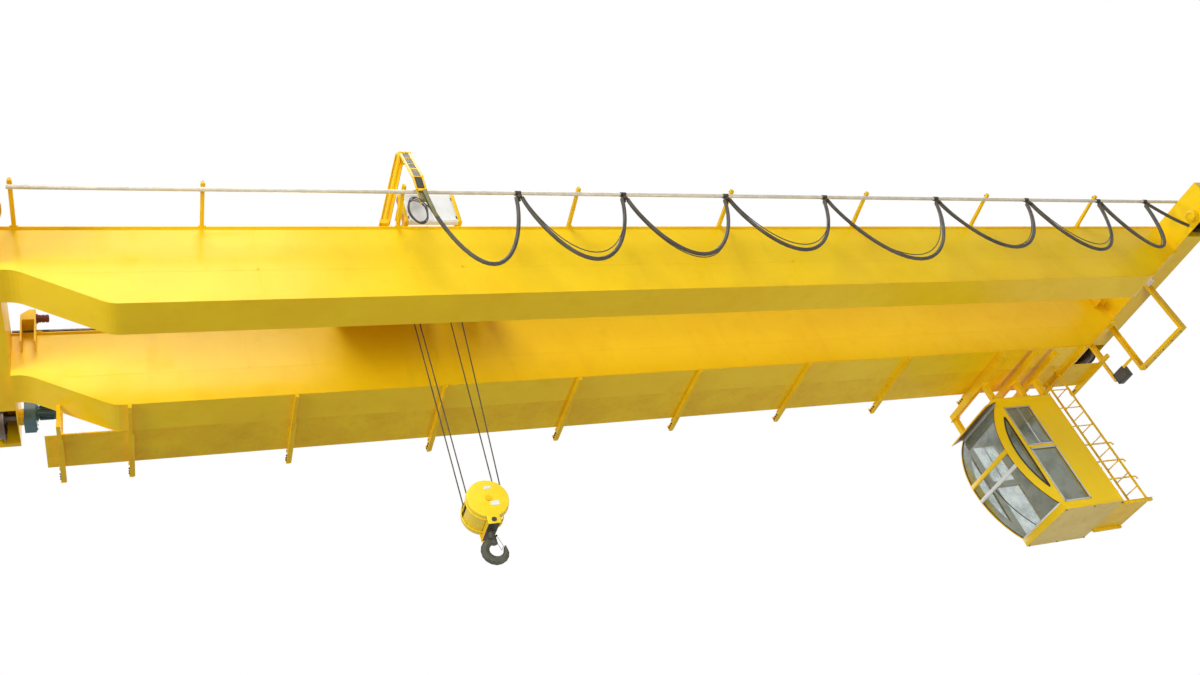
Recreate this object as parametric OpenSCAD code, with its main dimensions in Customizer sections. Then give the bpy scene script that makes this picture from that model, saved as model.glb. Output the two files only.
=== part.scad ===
// Double-girder overhead bridge crane, 16 t, with an operator's cabin and a cable festoon.
// The origin is on the underside of the left end carriage, at its middle.
// +X runs along the girders, +Y across them to the walkway side, +Z up.

/* [Bridge] */
// Distance between the centres of the two runway rails
span = 21000; // [18000:100:24000]
// Distance between the middles of the two girders
gauge = 2000; // [1900:20:2200]
// Width of a girder's top and bottom plates
flange_w = 580; // [540:10:640]
// Distance between the outer faces of a girder's webs
box_w = 520; // [460:10:530]
// Thickness of the top and bottom plates
flange_t = 12; // [8:1:20]
// Thickness of the webs
web_t = 8; // [6:1:12]
// Depth of a girder at mid span
girder_h = 1370; // [1250:10:1450]
// Depth of a girder at the end carriage
end_h = 760; // [700:10:800]
// From the runway rail to the corner where the taper ends
taper_x = 1500; // [1450:50:1800]
// Length of the taper along the span
taper_len = 1060; // [900:20:1060]
// Radius of the bends in the bottom plate
bend_r = 400; // [200:50:500]
// Number of cells inside a girder
cells = 14; // [12:1:20]
// Height of the trolley rails
rail_h = 90; // [70:5:120]
// Width of the trolley rails' heads
rail_w = 60; // [50:5:70]
// How far the trolley's rails lie inward of the girders' middles
rail_inset = 210; // [0:10:220]

/* [End carriages] */
// Width of an end carriage
carriage_w = 500; // [440:20:560]
// How far an end carriage reaches past its wheels' axles, without its buffers
carriage_over = 450; // [400:10:700]
// Height of an end carriage
carriage_h = 640; // [600:10:700]
// Plate thickness of an end carriage
carriage_t = 12; // [8:1:20]
// Distance between the two wheels of a carriage
wheelbase = 4000; // [3800:50:4400]
// Tread radius of a travel wheel
wheel_r = 300; // [250:10:310]
// Width of a travel wheel's tread
wheel_w = 110; // [90:5:130]
// Height of the wheel axles above the carriage's underside
axle_z = 180; // [170:5:200]
// Radius of the wheel axles
axle_r = 50; // [40:1:60]
// Length of the rubber buffers
buffer_len = 160; // [120:10:200]

/* [Walkway] */
// Width of the walkway deck
deck_w = 730; // [650:10:850]
// Thickness of the deck plate
deck_t = 6; // [4:1:10]
// Depth of the beams under the deck
beam_h = 80; // [70:5:110]
// Width of the beams under the deck
beam_w = 50; // [40:5:70]
// Number of beams under the deck, between the two tapers
beams = 9; // [8:1:10]
// How far the beams reach past the deck
beam_tip = 270; // [150:10:300]
// Height of the handrail above the deck
handrail_h = 1050; // [900:50:1200]

/* [Trolley] */
// Trolley position from the left runway rail
trolley_x = 5900; // [5600:50:6200]
// Length of the trolley frame along the girders
trolley_len = 2500; // [2400:20:2600]
// Distance between the trolley's axles
trolley_base = 1800; // [1700:20:1840]
// Tread radius of a trolley wheel
roller_r = 150; // [140:5:180]
// Height of the trolley's side beams
side_h = 300; // [280:10:380]
// Width of the trolley's side beams
side_w = 200; // [180:10:240]
// Radius of the rope drum
drum_r = 250; // [220:5:260]
// Length of the rope drum
drum_len = 1000; // [900:20:1200]

/* [Hook] */
// Depth of the hook block's axle below the carriage's underside
block_z = 3390; // [3000:10:5000]
// Radius of the hook block's cover plates
cover_r = 280; // [270:5:320]
// Distance between the outer faces of the cover plates
block_w = 430; // [400:10:480]
// Radius at which the rope runs on the hook block's sheaves
sheave_r = 235; // [215:5:245]
// Distance between the middles of the two sheaves
sheave_gap = 240; // [200:10:250]
// Diameter of the hoist rope
rope_d = 18; // [14:1:22]
// Inner radius of the hook's bowl
bowl_r = 92; // [80:2:100]
// Radius of the hook's body at its thickest
hook_r = 62; // [50:1:64]

/* [Festoon] */
// Outer diameter of the cable pipe
pipe_d = 60; // [42:1:70]
// Distance of the cable pipe from the edge of the front girder's plates
pipe_out = 620; // [560:10:700]
// Height of the cable pipe's middle above the girder's top
pipe_up = 40; // [36:2:60]
// Number of arms that carry the pipe between the two end arms
arms = 7; // [6:1:8]
// Mean depth of the cable loops below their hangers
loop_h = 1200; // [900:10:1250]
// Radius of the bundle of cables
bundle_r = 27; // [16:1:30]

/* [Cabin] */
// Length of the cabin's side walls along the span
cabin_len = 1450; // [1400:10:1600]
// Width of the cabin across the span
cabin_wid = 1270; // [1240:10:1400]
// Height of the cabin from its base to its roof
cabin_h = 2540; // [2500:10:2700]
// Distance from the right runway rail to the cabin's rear wall
cabin_back = 2500; // [2400:20:2700]
// Thickness of the cabin's walls
wall_t = 40; // [30:2:60]
// Thickness of the window glass
glass_t = 6; // [4:1:10]
// How far the front glass bulges from the front corners
bulge = 470; // [420:10:500]
// Width of the side windows
window_w = 590; // [500:10:600]
// Width of the aluminium window frames
frame_w = 30; // [24:1:40]
// Length of the posts that the cabin hangs from
post_len = 520; // [480:20:700]

/* [Hidden] */
$fn = 48;
// clearance between pieces that seat on each other, and between a shaft and its bore
seat = 0.3;
fit = 0.05;

// levels and lines that many pieces share
top_z = carriage_h;
carriage_len = wheelbase + 2 * carriage_over;
low_z = top_z - girder_h;
end_z = top_z - end_h;
girder_x0 = carriage_w / 2;
girder_x1 = span - girder_x0;
front_y = -gauge / 2;
rear_y = gauge / 2;
rail_y = front_y + rail_inset;
deck_y0 = rear_y + flange_w / 2;
deck_y1 = deck_y0 + deck_w;
rail_top = top_z + rail_h;

// a box from its lowest to its highest corner
module block(a, b) translate(a) cube([b[0] - a[0], b[1] - a[1], b[2] - a[2]]);
// an outline drawn in X and Z, given a thickness along Y from y0 to y1
module slab_y(y0, y1) translate([0, y1, 0]) rotate([90, 0, 0]) linear_extrude(y1 - y0) children();
// an outline drawn in Y and Z, given a thickness along X from x0 to x1
module slab_x(x0, x1) translate([x0, 0, 0]) rotate([90, 0, 90]) linear_extrude(x1 - x0) children();
// round bars along each axis
module rod_x(x0, x1, y, z, r) translate([x0, y, z]) rotate([0, 90, 0]) cylinder(h = x1 - x0, r = r);
module rod_y(y0, y1, x, z, r) translate([x, y1, z]) rotate([90, 0, 0]) cylinder(h = y1 - y0, r = r);
module rod_z(z0, z1, x, y, r) translate([x, y, z0]) cylinder(h = z1 - z0, r = r);
// a round bar between any two points
module rod_between(a, b, r) {
    d = b - a;
    translate(a) rotate([0, acos(d[2] / norm(d)), atan2(d[1], d[0])]) cylinder(h = norm(d), r = r);
}
// children at the left end of the bridge and mirrored at its right end
module both_ends() {
    children();
    translate([span, 0, 0]) mirror([1, 0, 0]) children();
}
// children on the front side and mirrored on the rear side
module both_sides() {
    children();
    mirror([0, 1, 0]) children();
}
// a tube through points that lie in a plane of constant Y, with a radius at each point in that
// plane and, where widths is given, another radius across it
module tube(line, radii, sides = 10, widths = undef) {
    last = len(line) - 1;
    function along(i) = let(d = line[min(i + 1, last)] - line[max(i - 1, 0)]) d / norm(d);
    rings = [for (i = [0:last]) let(t = along(i)) for (k = [0:sides - 1])
        line[i] + radii[i] * cos(360 * k / sides) * [-t[2], 0, t[0]]
            + (widths == undef ? radii : widths)[i] * sin(360 * k / sides) * [0, 1, 0]];
    walls = [for (i = [0:last - 1]) for (k = [0:sides - 1]) let(a = i * sides + k, b = i * sides + (k + 1) % sides)
        each [[a, b, b + sides], [a, b + sides, a + sides]]];
    ends = [[for (k = [sides - 1:-1:0]) k], [for (k = [0:sides - 1]) last * sides + k]];
    polyhedron(points = rings, faces = concat(walls, ends), convexity = 8);
}

// Girders

// the corner q between p and s, rounded to a radius
function unit(v) = v / norm(v);
function rounded(p, q, s, radius, n = 4) =
    let(a = unit(p - q), b = unit(s - q), half = acos(a * b) / 2, t = radius / tan(half),
        c = q + unit(a + b) * (radius / sin(half)), u = q + a * t - c, v = q + b * t - c,
        turn = atan2(u[0] * v[1] - u[1] * v[0], u * v))
    [for (i = [0:n]) let(w = turn * i / n) c + [u[0] * cos(w) - u[1] * sin(w), u[0] * sin(w) + u[1] * cos(w)]];

// the line of a girder's underside, from left to right, with its four bends
corners = [[girder_x0, end_z], [taper_x - taper_len, end_z], [taper_x, low_z],
    [span - taper_x, low_z], [span - taper_x + taper_len, end_z], [girder_x1, end_z]];
under = concat([corners[0]],
    [for (i = [1:4]) each rounded(corners[i - 1], corners[i], corners[i + 1], bend_r)],
    [corners[5]]);
function raised(line, d) = [for (i = [len(line) - 1:-1:0]) line[i] + [0, d]];
cell = (girder_x1 - girder_x0 - web_t) / cells;

module girder_webs(y) color("gold") difference() {
    slab_y(y - box_w / 2, y + box_w / 2)
        polygon(concat([for (p = under) p + [0, flange_t]],
            [[girder_x1, top_z - flange_t], [girder_x0, top_z - flange_t]]));
    for (i = [0:cells - 1]) let(x = girder_x0 + web_t + i * cell)
        block([x, y - box_w / 2 + web_t, low_z - 1], [x + cell - web_t, y + box_w / 2 - web_t, top_z + 1]);
}
module girder_plates(y) color("gold") {
    block([girder_x0, y - flange_w / 2, top_z - flange_t], [girder_x1, y + flange_w / 2, top_z]);
    slab_y(y - flange_w / 2, y + flange_w / 2) polygon(concat(under, raised(under, flange_t)));
}
module trolley_rails() color("dimgray") both_sides()
    slab_x(girder_x0, girder_x1) translate([rail_y, top_z]) polygon([[-rail_w * 0.7, 0], [rail_w * 0.7, 0],
        [rail_w * 0.7, rail_h * 0.15], [rail_w * 0.2, rail_h * 0.3], [rail_w * 0.2, rail_h * 0.6],
        [rail_w / 2, rail_h * 0.75], [rail_w / 2, rail_h], [-rail_w / 2, rail_h], [-rail_w / 2, rail_h * 0.75],
        [-rail_w * 0.2, rail_h * 0.6], [-rail_w * 0.2, rail_h * 0.3], [-rail_w * 0.7, rail_h * 0.15]]);

// Trolley stops and buffers

stop_x = girder_x0 + 120;
stop_len = 190;
stop_t = 20;
stop_w = 230;
stop_z0 = top_z - 330;
stop_z1 = top_z + 250;
stop_y = front_y + box_w / 2;
buffer_r = 55;
buffer_z = stop_z1 - 75;
stop_reach = stop_x + stop_len + buffer_len;
// a box on the girder's inner web, with its top chamfered and the buffer on its end
module stop_bracket() both_sides() {
    difference() {
        block([stop_x, stop_y, stop_z0], [stop_x + stop_len, stop_y + stop_w, stop_z1]);
        block([stop_x + stop_t, stop_y - 1, stop_z0 - 1], [stop_x + stop_len - stop_t, stop_y + stop_w + 1, buffer_z - 110]);
        block([stop_x - 1, stop_y - 1, top_z - flange_t - seat], [stop_x + stop_len + 1, stop_y + (flange_w - box_w) / 2 + seat, top_z + seat]);
        slab_y(stop_y - 1, stop_y + stop_w + 1)
            polygon([[stop_x - 1, stop_z1 - 90], [stop_x - 1, stop_z1 + 1], [stop_x + 110, stop_z1 + 1]]);
    }
}
module trolley_stops() color("gold") both_ends() stop_bracket();
module buffer(reach, r) {
    cylinder(h = reach * 0.12, r = r * 1.25);
    cylinder(h = reach, r = r * 0.8);
    for (k = [0.12, 0.42, 0.72]) translate([0, 0, reach * k]) cylinder(h = reach * 0.24, r = r);
}
module rubber_buffers() color("brown") both_ends() both_sides() {
    translate([stop_x + stop_len, stop_y + stop_w / 2, buffer_z]) rotate([0, 90, 0]) buffer(buffer_len, buffer_r);
    translate([0, -carriage_len / 2, carriage_h * 0.6]) rotate([90, 0, 0]) buffer(buffer_len, buffer_r * 1.5);
}

// End carriages

pocket_y0 = wheelbase / 2 - wheel_r - 80;
pocket_y1 = wheelbase / 2 + wheel_r + 80;
bearing_w = 70;
bearing_r = 120;
module end_carriage() color("gold") difference() {
    union() {
        block([-carriage_w / 2, -carriage_len / 2, 0], [carriage_w / 2, carriage_len / 2, carriage_h]);
        both_sides() rod_x(-carriage_w / 2 - bearing_w, carriage_w / 2 + bearing_w, wheelbase / 2, axle_z, bearing_r);
    }
    block([-carriage_w / 2 + carriage_t, -pocket_y0 + carriage_t, carriage_t],
        [carriage_w / 2 - carriage_t, pocket_y0 - carriage_t, carriage_h - carriage_t]);
    both_sides() {
        block([-carriage_w / 2 + carriage_t, pocket_y0, -bearing_r], [carriage_w / 2 - carriage_t, pocket_y1, carriage_h - carriage_t]);
        rod_x(-carriage_w / 2 - bearing_w - 1, carriage_w / 2 + bearing_w + 1, wheelbase / 2, axle_z, axle_r + fit);
    }
}
module left_end_carriage() end_carriage();
module right_end_carriage() translate([span, 0, 0]) end_carriage();

// the wheel, its flanges and its axle turn together
module travel_wheel(x, y) color("dimgray") translate([x, y, axle_z]) rotate([0, 90, 0]) {
    rotate_extrude($fn = 96) polygon([[axle_r * 0.9, -wheel_w * 0.8], [axle_r * 1.8, -wheel_w * 0.8], [axle_r * 1.8, -wheel_w * 0.2],
        [wheel_r - 60, -wheel_w * 0.2], [wheel_r - 60, -wheel_w * 0.7], [wheel_r + 25, -wheel_w * 0.7],
        [wheel_r + 18, -wheel_w / 2], [wheel_r, -wheel_w / 2], [wheel_r, wheel_w / 2], [wheel_r + 18, wheel_w / 2],
        [wheel_r + 25, wheel_w * 0.7], [wheel_r - 60, wheel_w * 0.7], [wheel_r - 60, wheel_w * 0.2],
        [axle_r * 1.8, wheel_w * 0.2], [axle_r * 1.8, wheel_w * 0.8], [axle_r * 0.9, wheel_w * 0.8]]);
    translate([0, 0, -carriage_w / 2 - bearing_w]) cylinder(h = carriage_w + 2 * bearing_w, r = axle_r);
}

// gearbox on the inner side of the rear wheel, with its motor along the span
drive_x0 = carriage_w / 2 + bearing_w + seat;
drive_h = 360;
module travel_drives() color("darkslategray") both_ends() {
    block([drive_x0, wheelbase / 2 - 150, axle_z - drive_h / 2], [drive_x0 + 150, wheelbase / 2 + 150, axle_z + drive_h / 2]);
    rod_x(drive_x0 + 150, drive_x0 + 180, wheelbase / 2, axle_z + 60, 115);
    rod_x(drive_x0 + 180, drive_x0 + 420, wheelbase / 2, axle_z + 60, 95);
}

// Walkway

end_beam = 800;
beam_x0 = taper_x + 190;
beam_pitch = (span - 2 * beam_x0) / (beams - 1);
beam_x = [for (i = [0:beams - 1]) beam_x0 + i * beam_pitch];
beam_y0 = rear_y - flange_w / 2 - 30;
beam_y1 = deck_y1 + beam_tip;
deck_x0 = 620;
edge_h = 100;
// the height of a girder's underside over the outer beams
over_end_beam = end_z - (end_beam + beam_w / 2 - taper_x + taper_len) * (end_z - low_z) / taper_len;
module walkway_deck() color("goldenrod") {
    block([deck_x0, deck_y0, low_z], [span - deck_x0, deck_y1, low_z + deck_t]);
    block([deck_x0, deck_y1 - deck_t, low_z + deck_t], [span - deck_x0, deck_y1, low_z + edge_h]);
}
// channels across the underside of the rear girder, and two that hang from its tapers
module walkway_beams() color("gold") {
    for (x = beam_x) block([x - beam_w / 2, beam_y0, low_z - beam_h], [x + beam_w / 2, beam_y1, low_z - seat]);
    both_ends() {
        block([end_beam - beam_w / 2, rear_y, low_z - beam_h], [end_beam + beam_w / 2, beam_y1, low_z]);
        block([end_beam - beam_w / 2, deck_y0 - flange_w * 0.3, low_z],
            [end_beam + beam_w / 2, deck_y0 - flange_w * 0.3 + beam_w, over_end_beam - 3]);
    }
}
rail_x0 = end_beam - beam_w / 2;
posts = 2 * beams;
module walkway_handrail() color("gold") {
    y = deck_y1 - deck_t - 22;
    for (i = [0:posts]) rod_z(low_z + deck_t, low_z + deck_t + handrail_h, rail_x0 + 20 + i * (span - 2 * rail_x0 - 40) / posts, y, 20, $fn = 8);
    for (k = [0.5, 1]) rod_x(rail_x0, span - rail_x0, y, low_z + deck_t + k * handrail_h, 18, $fn = 8);
}

// Collector frame under the right end carriage

collector_y = [-300, 980];
collector_low = -1210;
collector_x = span - carriage_w / 2 + 10;
bar_w = 140;
bar_t = 14;
shoe_y = 1620;
shoe_low = -990;
module collector_frame() color("gold") {
    // two legs with a foot plate each, and the bar between them
    for (y = collector_y) {
        block([collector_x, y - bar_t, collector_low], [collector_x + bar_w, y + bar_t, -seat]);
        block([collector_x, y - 70, -12 - seat], [collector_x + bar_w, y + 70, -seat]);
    }
    block([collector_x, collector_y[0] - bar_t, collector_low - bar_t],
        [collector_x + bar_w, collector_y[1] + bar_t, collector_low + bar_t]);
    // the leg of the current collector, tied back to the frame
    block([collector_x, shoe_y - 30, shoe_low], [collector_x + 60, shoe_y + 30, -seat]);
    block([collector_x, collector_y[1], shoe_low + 60], [collector_x + 12, shoe_y, shoe_low + 120]);
    block([collector_x, shoe_y - 330, shoe_low - 100], [collector_x + bar_w, shoe_y - 30, shoe_low + 130]);
}

// Cabin

cabin_x1 = span - cabin_back;
cabin_x0 = cabin_x1 - cabin_len;
cabin_y0 = deck_y0 + 130;
cabin_y1 = cabin_y0 + cabin_wid;
cabin_z1 = low_z - beam_h - post_len;
cabin_z0 = cabin_z1 - cabin_h;
roof_t = 60;
floor_t = 60;
// the front edge of a side wall is an arc through the two front corners
arc_z0 = cabin_z0 + 150;
arc_z1 = cabin_z1 - 100;
arc_h = arc_z1 - arc_z0;
arc_r = arc_h * arc_h / 8 / bulge + bulge / 2;
arc_c = [cabin_x0 - bulge + arc_r, (arc_z0 + arc_z1) / 2];
arc_a = asin(arc_h / 2 / arc_r);
function arc(d, n = 16) = [for (i = [0:n]) let(a = 180 - arc_a + 2 * arc_a * i / n)
    arc_c + (arc_r - d) * [cos(a), sin(a)]];
window_x0 = cabin_x0 + 110;
upper_window = [cabin_z1 - 1100, cabin_z1 - 260];
lower_window = [cabin_z0 + 180, cabin_z1 - 1220];
crescent_in = 190;

module crescent() intersection() {
    translate(arc_c) circle(r = arc_r - crescent_in, $fn = 96);
    translate([cabin_x0 - bulge, arc_z0 + 300]) square([bulge - 30, arc_h - 560]);
}
module side_windows() {
    for (w = [upper_window, lower_window]) translate([window_x0, w[0]]) square([window_w, w[1] - w[0]]);
    crescent();
}
module side_wall() {
    difference() {
        polygon(concat([[cabin_x1, cabin_z0 + floor_t], [cabin_x1, cabin_z1 - roof_t], [cabin_x0, cabin_z1 - roof_t]],
            arc(0), [[cabin_x0, cabin_z0 + floor_t]]));
        side_windows();
    }
}
module cabin_near_wall() color("gold") slab_y(cabin_y0, cabin_y0 + wall_t) side_wall();
module cabin_far_wall() color("gold") slab_y(cabin_y1 - wall_t, cabin_y1) side_wall();
inner_y0 = cabin_y0 + wall_t;
inner_y1 = cabin_y1 - wall_t;
door_w = 560;
door_h = 1900;
module cabin_rear_wall() color("gold") difference() {
    block([cabin_x1 - wall_t, inner_y0, cabin_z0 + floor_t], [cabin_x1, inner_y1, cabin_z1 - roof_t]);
    block([cabin_x1 - wall_t - 1, inner_y0 + 20, cabin_z0 + floor_t - 1], [cabin_x1 + 1, inner_y0 + 20 + door_w, cabin_z0 + floor_t + door_h]);
}
module cabin_front_panel() color("gold")
    block([cabin_x0, inner_y0, cabin_z0 + floor_t], [cabin_x0 + wall_t, inner_y1, arc_z0]);
visor = 330;
module cabin_roof() color("gold") {
    block([cabin_x0, cabin_y0, cabin_z1 - roof_t], [cabin_x1, cabin_y1, cabin_z1]);
    slab_y(cabin_y0, cabin_y1) polygon([[cabin_x0, cabin_z1], [cabin_x0, cabin_z1 - roof_t],
        [cabin_x0 - visor, cabin_z1 - 150 - 20], [cabin_x0 - visor, cabin_z1 - 150]]);
}
module cabin_floor() color("tan")
    block([cabin_x0, cabin_y0, cabin_z0], [cabin_x1, cabin_y1, cabin_z0 + floor_t]);
module pane(y) slab_y(y, y + glass_t) side_windows();
module cabin_side_glass() color("lightblue", 0.4) {
    pane(cabin_y0 + wall_t / 2);
    pane(cabin_y1 - wall_t / 2 - glass_t);
}
module cabin_front_glass() color("lightblue", 0.4) {
    slab_y(inner_y0, inner_y1) polygon(concat(arc(2), [for (i = [16:-1:0]) arc(2 + glass_t)[i]]));
}
module window_frame(w, y) difference() {
    slab_y(y, y + 12) translate([window_x0 - frame_w, w[0] - frame_w]) square([window_w + 2 * frame_w, w[1] - w[0] + 2 * frame_w]);
    slab_y(y - 1, y + 13) translate([window_x0, w[0]]) square([window_w, w[1] - w[0]]);
}
module cabin_window_frames() color("silver") for (w = [upper_window, lower_window]) {
    window_frame(w, cabin_y0 - 12);
    window_frame(w, cabin_y1);
}
module cabin_door() color("gold") difference() {
    block([cabin_x1 + seat, inner_y0 + door_w + 30, cabin_z0 + floor_t + 10], [cabin_x1 + 30, cabin_y1 - 20, cabin_z0 + floor_t + door_h + 20]);
    block([cabin_x1, inner_y0 + door_w + 130, cabin_z0 + 1100], [cabin_x1 + 31, cabin_y1 - 110, cabin_z0 + 1800]);
}
cabin_post_x = [cabin_x0 + 60, cabin_x0 + 860, cabin_x1 - 60];
post_w = 100;
module cabin_posts() color("gold") for (x = cabin_post_x) {
    block([x - post_w / 2, beam_y0, low_z - beam_h - 120], [x + post_w / 2, cabin_y1 - 40, low_z - beam_h]);
    for (y = [cabin_y0 + 20, cabin_y1 - 40 - post_w])
        block([x - post_w / 2, y, cabin_z1], [x + post_w / 2, y + post_w, low_z - beam_h - 120]);
}
landing_len = 750;
landing_y1 = cabin_y0 + 1050;
landing_x1 = cabin_x1 + landing_len;
module cabin_landing() color("gold") {
    block([cabin_x1, cabin_y0, cabin_z0], [landing_x1, landing_y1, cabin_z0 + 8]);
    for (x = [cabin_x1 + 60, landing_x1 - 30]) rod_z(cabin_z0 + 8, cabin_z0 + 1100, x, landing_y1 - 30, 17, $fn = 12);
    for (z = [550, 1100]) rod_x(cabin_x1 + 60, landing_x1 - 30, landing_y1 - 30, cabin_z0 + z, 15, $fn = 12);
}
ladder_x = landing_x1 - 120;
module cabin_ladder() color("gold") {
    for (y = [cabin_y0 + 40, cabin_y0 + 400])
        block([ladder_x - 30, y - 5, cabin_z0 + 8], [ladder_x + 30, y + 5, low_z]);
    for (z = [cabin_z0 + 300:300:low_z - 100]) rod_y(cabin_y0 + 45, cabin_y0 + 395, ladder_x, z, 11, $fn = 12);
}

// Festoon

pipe_r = pipe_d / 2;
pipe_y = front_y - flange_w / 2 - pipe_out;
pipe_z = top_z + pipe_up;
end_arm = 440;
arm_x0 = 2665;
arm_x = concat([end_arm], [for (i = [0:arms - 1]) arm_x0 + i * (span - 2 * arm_x0 + 275) / (arms - 1)], [span + 30]);
arm_z = pipe_z + pipe_r + 20;
arm_t = 40;
foot_y = front_y - flange_w / 2;
module cable_pipe() color("silver") difference() {
    rod_x(end_arm - 40, span + 150, pipe_y, pipe_z, pipe_r);
    rod_x(end_arm - 50, span + 160, pipe_y, pipe_z, pipe_r - 4);
}
arm_w = 50;
lug_t = 10;
module pipe_arms() color("gold") for (x = arm_x) {
    slab_x(x - arm_w / 2, x + arm_w / 2) polygon([[foot_y + 60, top_z + seat], [foot_y + 60, top_z + 50],
        [pipe_y + 60, arm_z + arm_t], [pipe_y - 60, arm_z + arm_t],
        [pipe_y - 60, arm_z], [pipe_y + 60, arm_z], [foot_y, top_z + seat]]);
    difference() {
        block([x - arm_w / 2, pipe_y - lug_t / 2, pipe_z], [x + arm_w / 2, pipe_y + lug_t / 2, arm_z + 1]);
        rod_x(x - arm_w, x + arm_w, pipe_y, pipe_z, pipe_r + seat);
    }
}
// the widths of the eight loops, stretched to fill the way from the trolley to the end clamp
loop_w = [1440, 1700, 1800, 1900, 2350, 2100, 1800, 1250];
clamp_x = span - 1100;
tow_x = trolley_x - 340;
function total(n) = n == 0 ? 0 : loop_w[n - 1] + total(n - 1);
hanger_x = [for (i = [1:7]) tow_x + (clamp_x - tow_x) * total(i) / total(8)];
hanger_w = 90;
ring_t = 8;
saddle_z = pipe_z - pipe_r - 70;
saddle_r = 22;
module ring(x) difference() {
    union() {
        rod_x(x - hanger_w / 2, x + hanger_w / 2, pipe_y, pipe_z, pipe_r + ring_t);
        block([x - hanger_w / 2, pipe_y - 6, saddle_z], [x + hanger_w / 2, pipe_y + 6, pipe_z - pipe_r]);
        rod_y(pipe_y - 40, pipe_y + 40, x, saddle_z, saddle_r);
    }
    rod_x(x - hanger_w, x + hanger_w, pipe_y, pipe_z, pipe_r + seat);
    block([x - hanger_w, pipe_y - lug_t / 2 - 13, pipe_z], [x + hanger_w, pipe_y + lug_t / 2 + 13, pipe_z + 2 * pipe_r]);
}
module cable_hanger(i) color("dimgray") ring(hanger_x[i]);
module end_clamp() color("dimgray") ring(clamp_x);
// the trolley's clamp has a pin that lies between the two bars of the tow arm
module tow_clamp() color("dimgray") {
    ring(tow_x);
    rod_y(pipe_y - 160, pipe_y, tow_x - 25, saddle_z + 35, 12);
}
stations = concat([tow_x], hanger_x, [clamp_x]);
cable_out = saddle_r + bundle_r + seat;
tail_end = [girder_x1 + 40, front_y - 790, saddle_z - 480];
// how deep each loop hangs, as a share of the mean depth
sags = [1.12, 1.06, 1, 0.94, 1.14, 0.93, 1, 0.96];
// half of an ellipse from one hanger to the next
function drop(x0, x1, h, n = 16) = [for (i = [0:n]) let(a = 180 * i / n)
    [(x0 + x1) / 2 - (x1 - x0) / 2 * cos(a), pipe_y, saddle_z - h * pow(sin(a), 1.5)]];
module cable_loops() color("dimgray") {
    for (i = [0:len(stations) - 2])
        let(line = drop(stations[i] + cable_out, stations[i + 1] - cable_out, loop_h * sags[i]))
            tube(line, [for (p = line) bundle_r], 8);
    // from the last hanger to the side of the right end carriage
    difference() {
        rod_between([clamp_x + cable_out, pipe_y, saddle_z], tail_end, bundle_r, $fn = 8);
        block([girder_x1 - seat, tail_end[1] - 200, tail_end[2] - 200], [girder_x1 + 200, tail_end[1] + 200, saddle_z]);
    }
}

// Trolley

side_z0 = rail_top + 30;
side_z1 = side_z0 + side_h;
trolley_x0 = trolley_x - trolley_len / 2;
trolley_x1 = trolley_x + trolley_len / 2;
roller_z = rail_top + roller_r + seat;
cross_w = 160;
bed_z = side_z1 + 8;
sheave_beam_x = trolley_x - sheave_r - 60 - cross_w;
drum_x = trolley_x + sheave_r + drum_r + 200;
drum_z = side_z1 + 110;
panel_post_w = 60;
module trolley_frame() color("gold") {
    difference() {
        both_sides() block([trolley_x0, rail_y - side_w / 2, side_z0], [trolley_x1, rail_y + side_w / 2, side_z1]);
        both_sides() for (x = [-1, 1] * trolley_base / 2) {
            block([trolley_x + x - roller_r - 30, rail_y - rail_w / 2 - 20, side_z0 - 1],
                [trolley_x + x + roller_r + 30, rail_y + rail_w / 2 + 20, side_z1 - 20]);
            rod_y(rail_y - side_w, rail_y + side_w, trolley_x + x, roller_z, 35 + fit);
        }
    }
    for (x = [trolley_x0, sheave_beam_x, trolley_x1 - cross_w])
        block([x, rail_y + side_w / 2, side_z0], [x + cross_w, -rail_y - side_w / 2, side_z1]);
    // the bed that the hoist's motor stands on, left of the ropes
    block([trolley_x0, rail_y, side_z1], [drum_x - drum_r - 200, -rail_y, bed_z]);
    // arms out to the panel's two posts
    for (x = [panel_x0 - panel_post_w, panel_x1]) {
        block([x, panel_y, top_z + 100], [x + panel_post_w, panel_y + 120, panel_z1]);
        block([x, panel_y + 120, side_z0 + 20], [x + panel_post_w, rail_y - side_w / 2, side_z0 + 100]);
    }
}
module trolley_wheels() color("dimgray") both_sides() for (x = [-1, 1] * trolley_base / 2)
    translate([trolley_x + x, rail_y, roller_z]) rotate([90, 0, 0]) {
        translate([0, 0, -rail_w * 0.6]) cylinder(h = rail_w * 1.2, r = roller_r);
        translate([0, 0, -side_w / 2]) cylinder(h = side_w, r = 35);
    }
module hoist_drum() color("gray") {
    rod_y(-drum_len / 2, drum_len / 2, drum_x, drum_z, drum_r);
    rod_y(-drum_len / 2 - 60, drum_len / 2 + 60, drum_x, drum_z, 60);
}
gear_y0 = drum_len / 2 + 60;
motor_x = drum_x - 680;
motor_r = 150;
module hoist_drive() color("darkslategray") {
    // gearbox across the two shafts, and the bearing stand at the drum's other end
    block([drum_x - 850, gear_y0, bed_z + seat], [drum_x + 250, -rail_y + 40, drum_z + 180]);
    block([drum_x - drum_r - 150, -rail_y - side_w / 2 + 10, side_z1], [drum_x + 250, -rail_y + 40, bed_z + seat]);
    difference() {
        block([drum_x - 90, rail_y + 70, side_z1], [drum_x + 90, -drum_len / 2 - 5, drum_z + 70]);
        rod_y(-gear_y0, 0, drum_x, drum_z, 60 + fit);
    }
    rod_y(-120, gear_y0, motor_x, bed_z + 170, 40);
    rod_y(-460, 200, motor_x, bed_z + 170, motor_r);
    block([motor_x - motor_r, -340, bed_z], [motor_x + motor_r, 100, bed_z + 60]);
}
guide_z = side_z0 + side_h / 2;
module upper_sheave() color("dimgray") {
    rod_x(trolley_x - sheave_r - 30, trolley_x - sheave_r + 30, 0, guide_z, sheave_gap / 2 - rope_d / 2);
    rod_x(sheave_beam_x + cross_w, trolley_x - sheave_r + 60, 0, guide_z, 30);
}
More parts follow.
